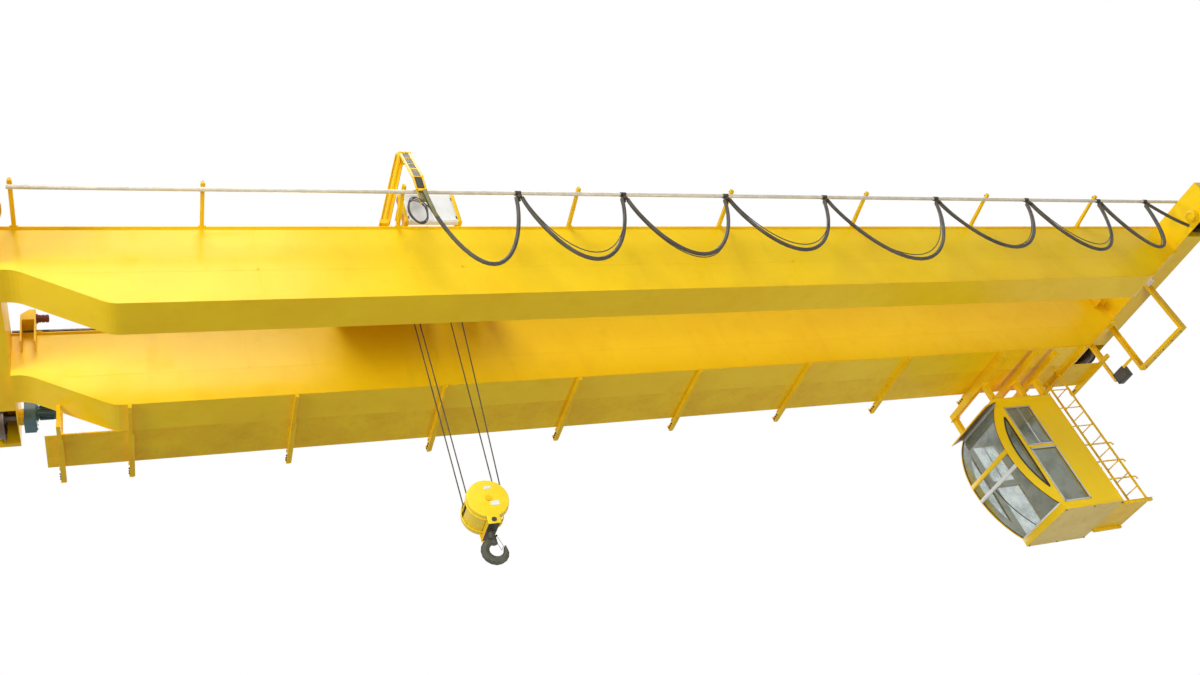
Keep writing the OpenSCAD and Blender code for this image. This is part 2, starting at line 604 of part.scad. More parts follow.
panel_x0 = trolley_x - 400;
panel_x1 = panel_x0 + 740;
panel_y = front_y - 285;
panel_z1 = top_z + 690;
module trolley_panel() color("white") block([panel_x0 + seat, panel_y, top_z + 100], [panel_x1 - seat, panel_y + 60, panel_z1]);
arm_top = [trolley_x - 150, front_y - 250, 2330];
arm_half = 65;
module tow_arm() color("gold") {
    foot = [trolley_x - 740, front_y - 200, side_z0 + 40];
    elbow = [tow_x - 40, pipe_y - 140, pipe_z + 160];
    rod_between(foot, arm_top + [-arm_half, 0, 0], 35, $fn = 8);
    block([foot[0] - 60, foot[1] - 40, side_z0], [foot[0] + 60, rail_y - side_w / 2, side_z0 + 80]);
    for (x = [-arm_half, arm_half]) {
        rod_between(arm_top + [x, 0, 0], elbow + [x, 0, 0], 14, $fn = 8);
        rod_between(elbow + [x, 0, 12], elbow + [x, 0, -560], 14, $fn = 8);
    }
    for (k = [0:0.25:1]) let(p = arm_top + k * (elbow - arm_top))
        rod_x(p[0] - arm_half, p[0] + arm_half, p[1], p[2], 12, $fn = 8);
}

// Hoist ropes, hook block and hook

block_y = sheave_gap / 2;
shank_r = 42;
cross_h = 90;
cross_z = -block_z - cover_r - 90;
module hoist_ropes() color("saddlebrown") for (side = [-1, 1]) {
    rod_between([trolley_x - sheave_r, side * block_y, -block_z], [trolley_x - sheave_r, side * block_y, guide_z], rope_d / 2, $fn = 8);
    rod_between([trolley_x + sheave_r, side * block_y, -block_z],
        [drum_x - drum_r - rope_d / 2 - 1, side * block_y * 2.4, drum_z], rope_d / 2, $fn = 8);
}
module hook_block() color("gold") {
    for (side = [-1, 1]) rod_y(side * block_w / 2 - 6, side * block_w / 2 + 6, trolley_x, -block_z, cover_r);
    rod_y(-block_w / 2 - 30, block_w / 2 + 30, trolley_x, -block_z, 40);
    for (side = [-1, 1]) block([trolley_x - 80, side * block_w / 2 - 6, cross_z], [trolley_x + 80, side * block_w / 2 + 6, -block_z]);
    difference() {
        block([trolley_x - 70, -block_w / 2, cross_z], [trolley_x + 70, block_w / 2, cross_z + cross_h]);
        rod_z(cross_z - 1, cross_z + cross_h + 1, trolley_x, 0, shank_r + fit);
    }
}
module block_sheaves() color("dimgray") for (side = [-1, 1]) translate([trolley_x, side * block_y, -block_z]) rotate([90, 0, 0])
    rotate_extrude($fn = 96) polygon([[40.2, -22], [70, -22], [70, -10], [sheave_r - 30, -10], [sheave_r + 20, -20],
        [sheave_r - rope_d / 2, -6], [sheave_r - rope_d / 2, 6], [sheave_r + 20, 20], [sheave_r - 30, 10], [70, 10], [70, 22], [40.2, 22]]);
shank_len = 190;
hook_c = [trolley_x, 0, cross_z - shank_len - bowl_r];
latch_pivot = hook_c + [shank_r - 4, 0, bowl_r + 95];
latch_y = shank_r + 8;
// the forged body: from the shank round the bowl to the point, which kicks outward; each row
// is an angle round the bowl's middle, the share of the full thickness and half the width
bow = [[100, 0.78, 41], [118, 0.84, 42], [138, 0.88, 43], [158, 0.92, 44], [178, 0.96, 46], [198, 0.99, 48],
    [218, 1, 49], [238, 1, 49], [258, 0.98, 49], [278, 0.92, 47], [298, 0.84, 44], [318, 0.74, 40], [336, 0.63, 36], [352, 0.52, 31]];
hook_line = concat([[0, bowl_r + 76, 41, 41], [-4, bowl_r + 62, 42, 41]],
    [for (w = bow) let(h = hook_r * w[1], d = bowl_r + h) [d * cos(w[0]), d * sin(w[0]), h, w[2]]],
    [[bowl_r + 33, 12, 24, 25], [bowl_r + 37, 34, 17, 18], [bowl_r + 43, 52, 9, 10]]);
module hook() color("dimgray") {
    rod_z(cross_z - shank_len, cross_z + cross_h + 1, trolley_x, 0, shank_r);
    rod_z(cross_z + cross_h + seat, cross_z + cross_h + 40, trolley_x, 0, shank_r * 1.5);
    rod_y(-latch_y - 6, latch_y + 6, latch_pivot[0], latch_pivot[2], 6);
    tube([for (p = hook_line) hook_c + [p[0], 0, p[1]]], [for (p = hook_line) p[2]], 16, [for (p = hook_line) p[3]]);
}
module hook_latch() color("silver") {
    tip = hook_c + [bowl_r - 3, 0, 18];
    difference() {
        for (y = [-1, 1] * latch_y) {
            rod_y(y - 3, y + 3, latch_pivot[0], latch_pivot[2], 12);
            rod_between([latch_pivot[0], y, latch_pivot[2]], [tip[0], y, tip[2]], 3, $fn = 8);
        }
        rod_y(-latch_y - 9, latch_y + 9, latch_pivot[0], latch_pivot[2], 6 + fit);
    }
    rod_y(-latch_y - 3, latch_y + 3, tip[0], tip[2], 3, $fn = 8);
}

girder_webs(front_y);  // front_girder_webs
girder_plates(front_y);  // front_girder_plates
girder_webs(rear_y);  // rear_girder_webs
girder_plates(rear_y);  // rear_girder_plates
trolley_rails();
trolley_stops();
rubber_buffers();
left_end_carriage();
right_end_carriage();
travel_drives();
travel_wheel(0, -wheelbase / 2);  // wheel_front_left
travel_wheel(0, wheelbase / 2);  // wheel_rear_left
travel_wheel(span, -wheelbase / 2);  // wheel_front_right
travel_wheel(span, wheelbase / 2);  // wheel_rear_right
walkway_deck();
walkway_beams();
walkway_handrail();
collector_frame();
cabin_near_wall();
cabin_far_wall();
cabin_rear_wall();
cabin_front_panel();
cabin_roof();
cabin_floor();
cabin_front_glass();
cabin_side_glass();
cabin_window_frames();
cabin_door();
cabin_posts();
cabin_ladder();
cabin_landing();
cable_pipe();
pipe_arms();
cable_loops();
end_clamp();
cable_hanger(0);  // cable_hanger_1
cable_hanger(1);  // cable_hanger_2
cable_hanger(2);  // cable_hanger_3
cable_hanger(3);  // cable_hanger_4
cable_hanger(4);  // cable_hanger_5
cable_hanger(5);  // cable_hanger_6
cable_hanger(6);  // cable_hanger_7
tow_clamp();
trolley_frame();
trolley_wheels();
hoist_drum();
hoist_drive();
upper_sheave();
trolley_panel();
tow_arm();
hoist_ropes();
hook_block();
block_sheaves();
hook();
hook_latch();
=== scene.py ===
import math

import bpy
from mathutils import Matrix, Vector


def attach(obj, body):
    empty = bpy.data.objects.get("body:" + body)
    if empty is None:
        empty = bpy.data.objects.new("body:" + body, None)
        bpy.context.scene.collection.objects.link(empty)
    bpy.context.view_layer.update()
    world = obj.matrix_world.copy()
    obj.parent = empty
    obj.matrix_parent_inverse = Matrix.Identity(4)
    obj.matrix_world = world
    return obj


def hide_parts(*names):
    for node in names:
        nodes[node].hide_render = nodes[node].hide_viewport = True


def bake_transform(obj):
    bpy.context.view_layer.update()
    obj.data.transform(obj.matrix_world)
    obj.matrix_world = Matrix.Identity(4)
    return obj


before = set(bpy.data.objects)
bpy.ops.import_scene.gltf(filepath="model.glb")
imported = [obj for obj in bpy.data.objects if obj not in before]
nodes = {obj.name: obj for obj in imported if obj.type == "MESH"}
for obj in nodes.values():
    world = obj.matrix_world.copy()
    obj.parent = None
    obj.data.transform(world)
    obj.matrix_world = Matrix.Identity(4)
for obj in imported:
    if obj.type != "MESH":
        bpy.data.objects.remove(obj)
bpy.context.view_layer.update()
print("frame loaded:", len(nodes), "nodes")

cameraSetup = {
    "place": (1.477, -11.963, -10.76),
    "right": (0.91207, -0.28032, -0.29925),
    "down": (-0.04124, 0.66340, -0.74713),
    "ahead": (0.40796, 0.69377, 0.59350),
    "lens": 32.895, "sensor": 36, "sight": 200,
}


def addObject(name, data):
    item = bpy.data.objects.new(name, data)
    bpy.context.scene.collection.objects.link(item)
    return item


def addCamera(setup):
    data = bpy.data.cameras.new("camera")
    data.lens = setup["lens"]
    data.sensor_width = setup["sensor"]
    data.clip_end = setup["sight"]
    camera = addObject("camera", data)
    axes = Matrix([setup["right"], [-v for v in setup["down"]], [-v for v in setup["ahead"]]])
    camera.matrix_world = Matrix.Translation(setup["place"]) @ axes.transposed().to_4x4()
    bpy.context.scene.camera = camera


addCamera(cameraSetup)
bpy.context.scene.view_settings.view_transform = "Standard"

lightSetup = {
    "worldLevel": 0.28, "worldTint": (0.95, 0.97, 1.0, 1),
    "lamps": [  # name, place, target, size, power
        ("keyLamp", (3.0, -18.0, 15.0), (6.0, -1.0, 0.0), 10.0, 2700.0),
        ("leftLamp", (-10.0, -10.0, -3.0), (4.0, 0.0, 0.0), 8.0, 1700.0),
        ("lowLamp", (1.0, -16.0, -8.0), (4.0, 0.0, 0.0), 10.0, 820.0),
        ("cabinLamp", (15.5, -6.0, -12.0), (17.8, 2.0, -3.4), 3.5, 470.0),
        ("topLamp", (10.0, 2.0, 22.0), (10.0, 0.0, 0.0), 18.0, 3000.0),
        ("backLamp", (13.0, 24.0, 8.0), (11.0, 0.0, 0.0), 14.0, 3600.0),
    ],
}


def setInputs(made, values):
    for key, value in values.items():
        made.inputs[key].default_value = value


def node(tree, kind, values=None, **settings):
    made = tree.nodes.new("ShaderNode" + kind)
    for key, value in settings.items():
        setattr(made, key, value)
    setInputs(made, values or {})
    return made


def link(tree, *pairs):
    for source, target in pairs:
        tree.links.new(source, target)


def addWorld(setup):  # white where the camera, a reflection or a pane looks at it, softer as a light
    world = bpy.data.worlds.new("paleStudio")
    bpy.context.scene.world = world
    world.use_nodes = True
    tree = world.node_tree
    tree.nodes.clear()
    rays = node(tree, "LightPath")
    clear, seen = [node(tree, "Math", operation="MAXIMUM") for i in range(2)]
    soft = node(tree, "Background", {"Color": setup["worldTint"], "Strength": setup["worldLevel"]})
    white = node(tree, "Background", {"Color": (1, 1, 1, 1)})
    mix, out = node(tree, "MixShader"), node(tree, "OutputWorld")
    link(tree, (rays.outputs["Is Glossy Ray"], clear.inputs[0]),
         (rays.outputs["Is Transmission Ray"], clear.inputs[1]),
         (rays.outputs["Is Camera Ray"], seen.inputs[0]), (clear.outputs[0], seen.inputs[1]),
         (seen.outputs[0], mix.inputs[0]), (soft.outputs[0], mix.inputs[1]),
         (white.outputs[0], mix.inputs[2]), (mix.outputs[0], out.inputs["Surface"]))


def addLamps(lamps):
    for name, place, target, size, power in lamps:
        data = bpy.data.lights.new(name, "AREA")
        data.shape = "DISK"
        data.size = size
        data.energy = power
        lamp = addObject(name, data)
        lamp.location = place
        lamp.rotation_euler = (Vector(target) - Vector(place)).to_track_quat("-Z", "Y").to_euler()


addWorld(lightSetup)
addLamps(lightSetup["lamps"])


def newGroup(name, inputs, output, kind="NodeSocketFloat"):
    group = bpy.data.node_groups.new(name, "ShaderNodeTree")
    for title, value in inputs.items():
        taken = "NodeSocketFloat" if isinstance(value, float) else "NodeSocketVector"
        group.interface.new_socket(title, in_out="INPUT", socket_type=taken).default_value = value
    group.interface.new_socket(output, in_out="OUTPUT", socket_type=kind)
    return group, group.nodes.new("NodeGroupInput"), group.nodes.new("NodeGroupOutput")


def objectNoise(tree, scale, stretch, detail=5.0, rough=0.6):
    place = node(tree, "TexCoord")
    size = node(tree, "Mapping", {"Scale": stretch})
    noise = node(tree, "TexNoise", {"Detail": detail, "Roughness": rough})
    link(tree, (place.outputs["Object"], size.inputs["Vector"]), (size.outputs[0], noise.inputs["Vector"]))
    if isinstance(scale, float):
        noise.inputs["Scale"].default_value = scale
    else:
        link(tree, (scale, noise.inputs["Scale"]))
    return noise


def buildMaskGroup(name, stretch, values):  # 1 where a noise is high, 0 where it's low
    group, given, made = newGroup(name, values, "Mask")
    noise = objectNoise(group, given.outputs["Scale"], stretch)
    spread = node(group, "MapRange")
    link(group, (noise.outputs["Fac"], spread.inputs["Value"]),
         (given.outputs["Low"], spread.inputs["From Min"]),
         (given.outputs["High"], spread.inputs["From Max"]), (spread.outputs[0], made.inputs["Mask"]))
    return group


def buildSkinGroup():  # the fine ripple of a sprayed or cast skin, and plates that aren't quite flat
    values = {"Fine": 60.0, "Fine Depth": 0.1, "Wave Depth": 0.2}
    group, given, made = newGroup("skin", values, "Normal", "NodeSocketVector")
    broad = objectNoise(group, 0.9, (1, 1, 1.6), 1.0, 0.4)
    wave = node(group, "Bump", {"Distance": 0.02})
    noise = objectNoise(group, given.outputs["Fine"], (1, 1, 1), 2.0, 0.5)
    bump = node(group, "Bump", {"Distance": 0.002})
    link(group, (broad.outputs["Fac"], wave.inputs["Height"]),
         (given.outputs["Wave Depth"], wave.inputs["Strength"]),
         (noise.outputs["Fac"], bump.inputs["Height"]),
         (given.outputs["Fine Depth"], bump.inputs["Strength"]), (wave.outputs[0], bump.inputs["Normal"]),
         (bump.outputs[0], made.inputs["Normal"]))
    return group


def buildInsideGroup(room):  # 1 on the cabin's inner faces, which have a pale lining paint
    group, given, made = newGroup("insideCabin", room, "Mask")
    place = node(group, "TexCoord")
    away, over = [node(group, "VectorMath", operation="SUBTRACT") for i in range(2)]
    size = node(group, "VectorMath", operation="ABSOLUTE")
    parts = node(group, "SeparateXYZ")
    widest, most = [node(group, "Math", operation="MAXIMUM") for i in range(2)]
    within = node(group, "Math", {1: 0.0}, operation="LESS_THAN")
    link(group, (place.outputs["Object"], away.inputs[0]), (given.outputs["Middle"], away.inputs[1]),
         (away.outputs[0], size.inputs[0]), (size.outputs[0], over.inputs[0]),
         (given.outputs["Reach"], over.inputs[1]), (over.outputs[0], parts.inputs[0]),
         (parts.outputs[0], widest.inputs[0]), (parts.outputs[1], widest.inputs[1]),
         (widest.outputs[0], most.inputs[0]), (parts.outputs[2], most.inputs[1]),
         (most.outputs[0], within.inputs[0]), (within.outputs[0], made.inputs["Mask"]))
    return group


patches = buildMaskGroup("patches", (1, 1, 1), {"Scale": 2.0, "Low": 0.45, "High": 0.7})  # dirt or fading
streaks = buildMaskGroup("streaks", (1, 1, 0.12), {"Scale": 3.0, "Low": 0.5, "High": 0.75})  # runs of dirt
skin = buildSkinGroup()
insideCabin = buildInsideGroup({"Middle": (17.62, 2.055, -2.595), "Reach": (0.852, 0.598, 1.245)})


def rgb(*values):  # a colour read off the screen, made linear
    return [(v / 255 / 12.92 if v <= 10 else ((v / 255 + 0.055) / 1.055) ** 2.4) for v in values] + [1]


def mixIn(tree, low, high, mask, share=1.0):
    mix = node(tree, "Mix", data_type="RGBA")
    scaled = node(tree, "Math", {1: share}, operation="MULTIPLY")
    link(tree, (mask, scaled.inputs[0]), (scaled.outputs[0], mix.inputs["Factor"]))
    for value, socket in ((low, mix.inputs[6]), (high, mix.inputs[7])):
        if isinstance(value, list):
            socket.default_value = value
        else:
            link(tree, (value, socket))
    return mix.outputs[2]


materialSpecs = {
    # the colours, the second one in patches, the worn one in dirt, then what differs from the usual
    "paintedYellow": dict(colour=(252, 212, 22), second=(248, 202, 14), worn=(168, 124, 14), rough=0.36,
                          coat=0.06, shine=0.16, dirt=0.12, streak=0.14, scale=1.4, fine=220.0,
                          fineDepth=0.04, waveDepth=0.25),
    "machineYellow": dict(colour=(248, 205, 20), second=(240, 190, 14), worn=(140, 100, 16), rough=0.42,
                          coat=0.05, shine=0.16, dirt=0.2, streak=0.18, scale=5.0, fine=260.0,
                          fineDepth=0.06),
    "railSteel": dict(colour=(110, 100, 92), second=(88, 72, 60), worn=(60, 42, 30), rough=0.45, metal=0.8,
                      dirt=0.6, scale=9.0, fine=300.0, fineDepth=0.2),
    "driveGrey": dict(colour=(50, 92, 102), second=(40, 74, 84), worn=(34, 36, 34), rough=0.45, coat=0.2,
                      dirt=0.4, scale=7.0, fine=300.0, fineDepth=0.25),
    "bufferRubber": dict(colour=(128, 62, 44), second=(104, 50, 38), worn=(60, 40, 34), rough=0.75,
                         dirt=0.5, scale=14.0, fine=400.0, fineDepth=0.3),
    "windowAluminium": dict(colour=(196, 198, 198), second=(176, 178, 178), worn=(120, 116, 108),
                            rough=0.35, metal=0.85, dirt=0.3, scale=8.0, fine=500.0, fineDepth=0.08),
    "floorTan": dict(colour=(232, 204, 112), second=(222, 190, 96), worn=(150, 120, 62), rough=0.5,
                     coat=0.05, shine=0.3, dirt=0.25, scale=3.0, fine=200.0, fineDepth=0.06),
    "pipeZinc": dict(colour=(222, 214, 196), second=(200, 193, 176), worn=(128, 118, 100), rough=0.4,
                     metal=0.25, dirt=0.35, scale=12.0, fine=420.0, fineDepth=0.15),
    "hangerIron": dict(colour=(84, 76, 62), second=(60, 54, 46), worn=(38, 30, 24), rough=0.5, metal=0.6,
                       dirt=0.5, scale=16.0, fine=500.0, fineDepth=0.25),
    "cableSheath": dict(colour=(84, 76, 62), second=(54, 49, 42), worn=(128, 118, 98), rough=0.5,
                        dirt=0.35, scale=5.0, fine=600.0, fineDepth=0.15),
    "forgedHook": dict(colour=(92, 94, 80), second=(66, 66, 56), worn=(122, 96, 58), rough=0.48,
                       metal=0.35, dirt=0.5, scale=11.0, fine=420.0, fineDepth=0.35),
    "panelWhite": dict(colour=(238, 238, 234), second=(226, 226, 220), worn=(170, 164, 150), rough=0.35,
                       coat=0.3, dirt=0.3, streak=0.3, scale=4.0, fine=300.0, fineDepth=0.06),
    # the cabin's yellow is the crane's yellow made a little brighter, painted light for the light its walls
    # lack; it has less dirt, and a pale lining paint inside
    "cabinYellowPaintedLight": dict(colour=(253, 216, 20), second=(250, 207, 14), worn=(168, 124, 14), rough=0.36,
                        coat=0.06, shine=0.18, dirt=0.08, streak=0.08, scale=1.8, fine=220.0,
                        fineDepth=0.03, lining=(214, 216, 204)),
    # the covers' yellow is the crane's yellow made brighter, painted light from below on the hook block's
    # covers and guard
    "coverYellowPaintedLight": dict(colour=(255, 224, 28), second=(250, 212, 20), worn=(170, 128, 20), rough=0.32,
                        coat=0.2, shine=0.35, dirt=0.12, streak=0.1, scale=5.0, fine=300.0,
                        fineDepth=0.03),
    "boltSteel": dict(colour=(56, 50, 44), second=(40, 36, 32), worn=(92, 84, 72), rough=0.45, metal=0.7,
                      dirt=0.4, scale=40.0, fine=800.0, fineDepth=0.2),
    "gasketRubber": dict(colour=(36, 35, 34), second=(26, 26, 26), worn=(70, 66, 58), rough=0.6, dirt=0.3,
                         scale=10.0, fine=600.0, fineDepth=0.1),
    "infillDark": dict(colour=(72, 66, 58), second=(58, 52, 46), worn=(36, 32, 28), rough=0.55, metal=0.2,
                       dirt=0.4, scale=10.0, fine=500.0, fineDepth=0.2),
    "oliveStrip": dict(colour=(128, 124, 74), second=(108, 104, 62), worn=(66, 60, 40), rough=0.5,
                       dirt=0.4, scale=10.0, fine=500.0, fineDepth=0.15),
    "visorBrown": dict(colour=(158, 104, 40), second=(134, 86, 32), worn=(56, 40, 24), rough=0.45,
                       coat=0.2, dirt=0.3, scale=6.0, fine=300.0, fineDepth=0.1),
}


def newMaterial(name):
    material = bpy.data.materials.new(name)
    material.use_nodes = True
    tree = material.node_tree
    return material, tree, tree.nodes["Principled BSDF"]


def buildMaterial(name, colour, second, worn, rough=0.4, metal=0.0, coat=0.0, shine=0.4, dirt=0.35,
                  streak=0.0, scale=2.0, fine=60.0, fineDepth=0.1, waveDepth=0.0, lining=None):
    material, tree, shader = newMaterial(name)
    tone = node(tree, "Group", {"Scale": scale * 0.45, "Low": 0.35, "High": 0.65}, node_tree=patches)
    grime = node(tree, "Group", {"Scale": scale * 2.3, "Low": 0.52, "High": 0.85}, node_tree=patches)
    base = mixIn(tree, rgb(*colour), rgb(*second), tone.outputs[0])
    base = mixIn(tree, base, rgb(*worn), grime.outputs[0], dirt)
    if streak:
        runs = node(tree, "Group", {"Scale": scale * 3, "Low": 0.55, "High": 0.9}, node_tree=streaks)
        base = mixIn(tree, base, rgb(*worn), runs.outputs[0], streak)
    if lining:
        inside = node(tree, "Group", node_tree=insideCabin)
        base = mixIn(tree, base, rgb(*lining), inside.outputs[0])
    gloss = node(tree, "MapRange", {"To Min": rough, "To Max": min(1.0, rough + 0.25)})
    values = {"Fine": fine, "Fine Depth": fineDepth, "Wave Depth": waveDepth}
    ripple = node(tree, "Group", values, node_tree=skin)
    link(tree, (base, shader.inputs["Base Color"]), (grime.outputs[0], gloss.inputs["Value"]),
         (gloss.outputs[0], shader.inputs["Roughness"]), (ripple.outputs[0], shader.inputs["Normal"]))
    setInputs(shader, {"Metallic": metal, "Specular IOR Level": shine, "Coat Weight": coat,
                       "Coat Roughness": 0.12})
    return material


def buildGlass(clean, dusty):
    material, tree, shader = newMaterial("cabinGlass")
    setInputs(shader, {"Transmission Weight": 1.0, "IOR": 1.45})
    dust = node(tree, "Group", {"Scale": 3.0}, node_tree=patches)
    tone = mixIn(tree, rgb(*clean), rgb(*dusty), dust.outputs[0])
    gloss = node(tree, "MapRange", {"To Min": 0.03, "To Max": 0.18})
    link(tree, (tone, shader.inputs["Base Color"]), (dust.outputs[0], gloss.inputs["Value"]),
         (gloss.outputs[0], shader.inputs["Roughness"]))
    return material


finishes = {name: buildMaterial(name, **spec) for name, spec in materialSpecs.items()}
finishes["cabinGlass"] = buildGlass((226, 232, 230), (190, 196, 192))
print("finishes:", len(finishes))

nodeFinishes = {  # finish: its CAD nodes, or the first letters of their names; all others are machineYellow
    "railSteel": ["trolley_rails", "trolley_wheels", "hoist_drum", "block_sheaves", "wheel_*"],
    "bufferRubber": ["rubber_buffers"],
    "driveGrey": ["travel_drives", "hoist_drive"],
    "cabinGlass": ["cabin_front_glass", "cabin_side_glass"],
    "windowAluminium": ["cabin_window_frames"],
    "floorTan": ["cabin_floor"],
    # the cabin's walls, roof and front panel take the brighter yellow, painted light
    "cabinYellowPaintedLight": ["cabin_near_wall", "cabin_far_wall", "cabin_rear_wall", "cabin_roof",
                    "cabin_front_panel"],
    "pipeZinc": ["cable_pipe"],
    "hangerIron": ["upper_sheave", "end_clamp", "tow_clamp", "cable_hanger*"],
    "panelWhite": ["trolley_panel"],
    "cableSheath": ["hoist_ropes", "cable_loops"],
    "forgedHook": ["hook"],
    "boltSteel": ["hook_latch"],
    "paintedYellow": ["front_girder*", "rear_girder*", "left_end_carriage", "right_end_carriage"],
}


def paint(item, finish):
    item.data.materials.clear()
    item.data.materials.append(finishes[finish])


for name, item in nodes.items():
    chosen = "machineYellow"
    for finish, words in nodeFinishes.items():
        if any(name == word or word.endswith("*") and name.startswith(word[:-1]) for word in words):
            chosen = finish
    paint(item, chosen)


def deselectAll():
    if bpy.context.object and bpy.context.object.mode != "OBJECT":
        bpy.ops.object.mode_set(mode="OBJECT")
    bpy.ops.object.select_all(action="DESELECT")


def pickOnly(item):
    deselectAll()
    item.select_set(True)
    bpy.context.view_layer.objects.active = item


def settle(item, body, finish, replaced=()):  # rides, painted, with its place in its mesh
    pickOnly(item)
    bpy.ops.object.transform_apply(location=True, rotation=True, scale=True)
    paint(item, finish)
    if body:
        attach(item, body)
    if replaced:
        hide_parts(*replaced)
    return item


# ropes and festoon cables, at the CAD's own points
ropeRun = {"diameter": 0.018, "sheave": (5.9, -3.39), "sheaveRadius": 0.235, "fallY": 0.12, "guideZ": 0.91,
           "drumPoint": (6.325, 0.288, 1.17)}
festoon = {
    "stations": [5.56, 7.0, 8.7, 10.5, 12.4, 14.75, 16.85, 18.65, 19.9],
    "sags": [1.12, 1.06, 1, 0.94, 1.14, 0.93, 1, 0.96],
    "y": -1.91, "saddleZ": 0.58, "depth": 1.2, "gap": 0.0493, "bundle": 0.056, "lobes": 5, "lobeDepth": 0.17,
    "looseCable": 0.016, "looseAside": [0.036, -0.034, 0.038, -0.036, 0.034, 0.037, -0.035, 0.036],
    "looseSag": [-0.06, -0.1, 0.03, -0.08, -0.13, -0.07, -0.1, -0.05],
    "tail": [(19.95, -1.91, 0.58), (20.752, -1.796, 0.124)], "tailSag": 0.05,
    "bodies": ["tow_clamp", *[f"hanger_{i}" for i in range(1, 8)], "root"],
}


def newCurve(name, dimensions, line, closed=False):
    data = bpy.data.curves.new(name, "CURVE")
    data.dimensions = dimensions
    spline = data.splines.new("POLY")
    spline.points.add(len(line) - 1)
    for point, place in zip(spline.points, line):
        point.co = (*place, 1)
    spline.use_cyclic_u = closed
    return addObject(name, data)


def arc(last, count, more=0):  # angles from 0 toward the last one, which is left out unless more is 1
    return [last * i / count for i in range(count + more)]


def lobedSection(name, radius, lobes, depth):  # the outline of several cables tied close together
    line = []
    for turn in arc(2 * math.pi, lobes * 6):
        out = radius * (1 - depth + 1.6 * depth * abs(math.cos(lobes * turn / 2)))
        line.append((out * math.cos(turn), out * math.sin(turn), 0))
    return newCurve(name, "2D", line, True)


def lineThrough(name, line, radius, section=None):
    item = newCurve(name, "3D", line)
    data = item.data
    data.twist_mode = "MINIMUM"
    data.use_fill_caps = True
    if section:
        data.bevel_mode = "OBJECT"
        data.bevel_object = section
    else:
        data.bevel_depth = radius
        data.bevel_resolution = 3
    pickOnly(item)
    bpy.ops.object.convert(target="MESH")
    bpy.ops.object.shade_smooth_by_angle(angle=math.radians(50))
    return item


def between(a, b, count):
    return [tuple(p + (q - p) * i / count for p, q in zip(a, b)) for i in range(count)]


def hoistRope(run):  # half of the rope from the drum round the block's sheave and up, then its mirror image
    x, z = run["sheave"]
    r, y, top = run["sheaveRadius"], run["fallY"], run["guideZ"]
    half = between(run["drumPoint"], (x + r, y, z), 24)
    half += [(x + r * math.cos(t), y, z - r * math.sin(t)) for t in arc(math.pi, 16)]
    half += between((x - r, y, z), (x - r, y, top), 24)
    half += [(x - r, y * math.cos(t), top + y * math.sin(t)) for t in arc(math.pi / 2, 8)]
    line = half + [(x - r, 0, top + y)] + [(p[0], -p[1], p[2]) for p in reversed(half)]
    rope = lineThrough("hoistRope", line, run["diameter"] / 2)
    settle(rope, None, "cableSheath", ["hoist_ropes"])
    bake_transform(rope)


def strand(spec, x0, x1, aside, depth):  # a loop that hangs between two hangers
    middle, half = (x0 + x1) / 2, (x1 - x0) / 2
    return [(middle - half * math.cos(t), spec["y"] + aside, spec["saddleZ"] - depth * math.sin(t) ** 1.5)
            for t in arc(math.pi, 28, 1)]


def festoonLoops(spec):
    stations, bodies, y = spec["stations"], spec["bodies"], spec["y"]
    section = lobedSection("bundleSection", spec["bundle"] / 2, spec["lobes"], spec["lobeDepth"])
    for i in range(8):
        x0, x1 = stations[i] + spec["gap"], stations[i + 1] - spec["gap"]
        depth = spec["depth"] * spec["sags"][i]
        loose = strand(spec, x0, x1, spec["looseAside"][i], depth + spec["looseSag"][i])
        runs = [(f"cableLoop{i + 1}", strand(spec, x0, x1, 0, depth), spec["bundle"], section),
                (f"looseCable{i + 1}", loose, spec["looseCable"], None)]
        for name, path, width, outline in runs:
            loop = lineThrough(name, path, width / 2, outline)
            settle(loop, None, "cableSheath", replaced=["cable_loops"] if i == 0 and outline else ())
            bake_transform(loop)
    tail = between(*spec["tail"], 12) + [spec["tail"][1]]
    tail = [(x, y, z - spec["tailSag"] * math.sin(math.pi * i / 12)) for i, (x, y, z) in enumerate(tail)]
    last = settle(lineThrough("cableTail", tail, 0, section), "root", "cableSheath")
    bpy.data.objects.remove(section)


hoistRope(ropeRun)
festoonLoops(festoon)
print("ropes and cables hung")


def selectFaces(item, test):  # in edit mode, with only the faces that pass the test selected
    pickOnly(item)
    bpy.ops.object.mode_set(mode="EDIT")
    bpy.ops.mesh.select_mode(type="FACE")
    bpy.ops.mesh.select_all(action="DESELECT")
    bpy.ops.object.mode_set(mode="OBJECT")
    for face in item.data.polygons:
        face.select = test(face)
    bpy.ops.object.mode_set(mode="EDIT")


def bevelPicked(edge, rounds):
    bpy.ops.mesh.bevel(offset=edge, segments=rounds, affect="EDGES")
    bpy.ops.object.mode_set(mode="OBJECT")


def addBlock(a, b, edge=0.0, rounds=2):  # a plate or bar between two opposite corners, its edges rounded
    deselectAll()
    low, high = zip(*[sorted(pair) for pair in zip(a, b)])
    bpy.ops.mesh.primitive_cube_add(size=1, location=[(p + q) / 2 for p, q in zip(low, high)],
                                    scale=[q - p for p, q in zip(low, high)])
    item = bpy.context.object
    bpy.ops.object.transform_apply(location=False, rotation=False, scale=True)
    if edge:
        bpy.ops.object.mode_set(mode="EDIT")
        bpy.ops.mesh.select_all(action="SELECT")
        bevelPicked(edge, rounds)
    return item


def onTop(face):
    return face.normal.z > 0.9


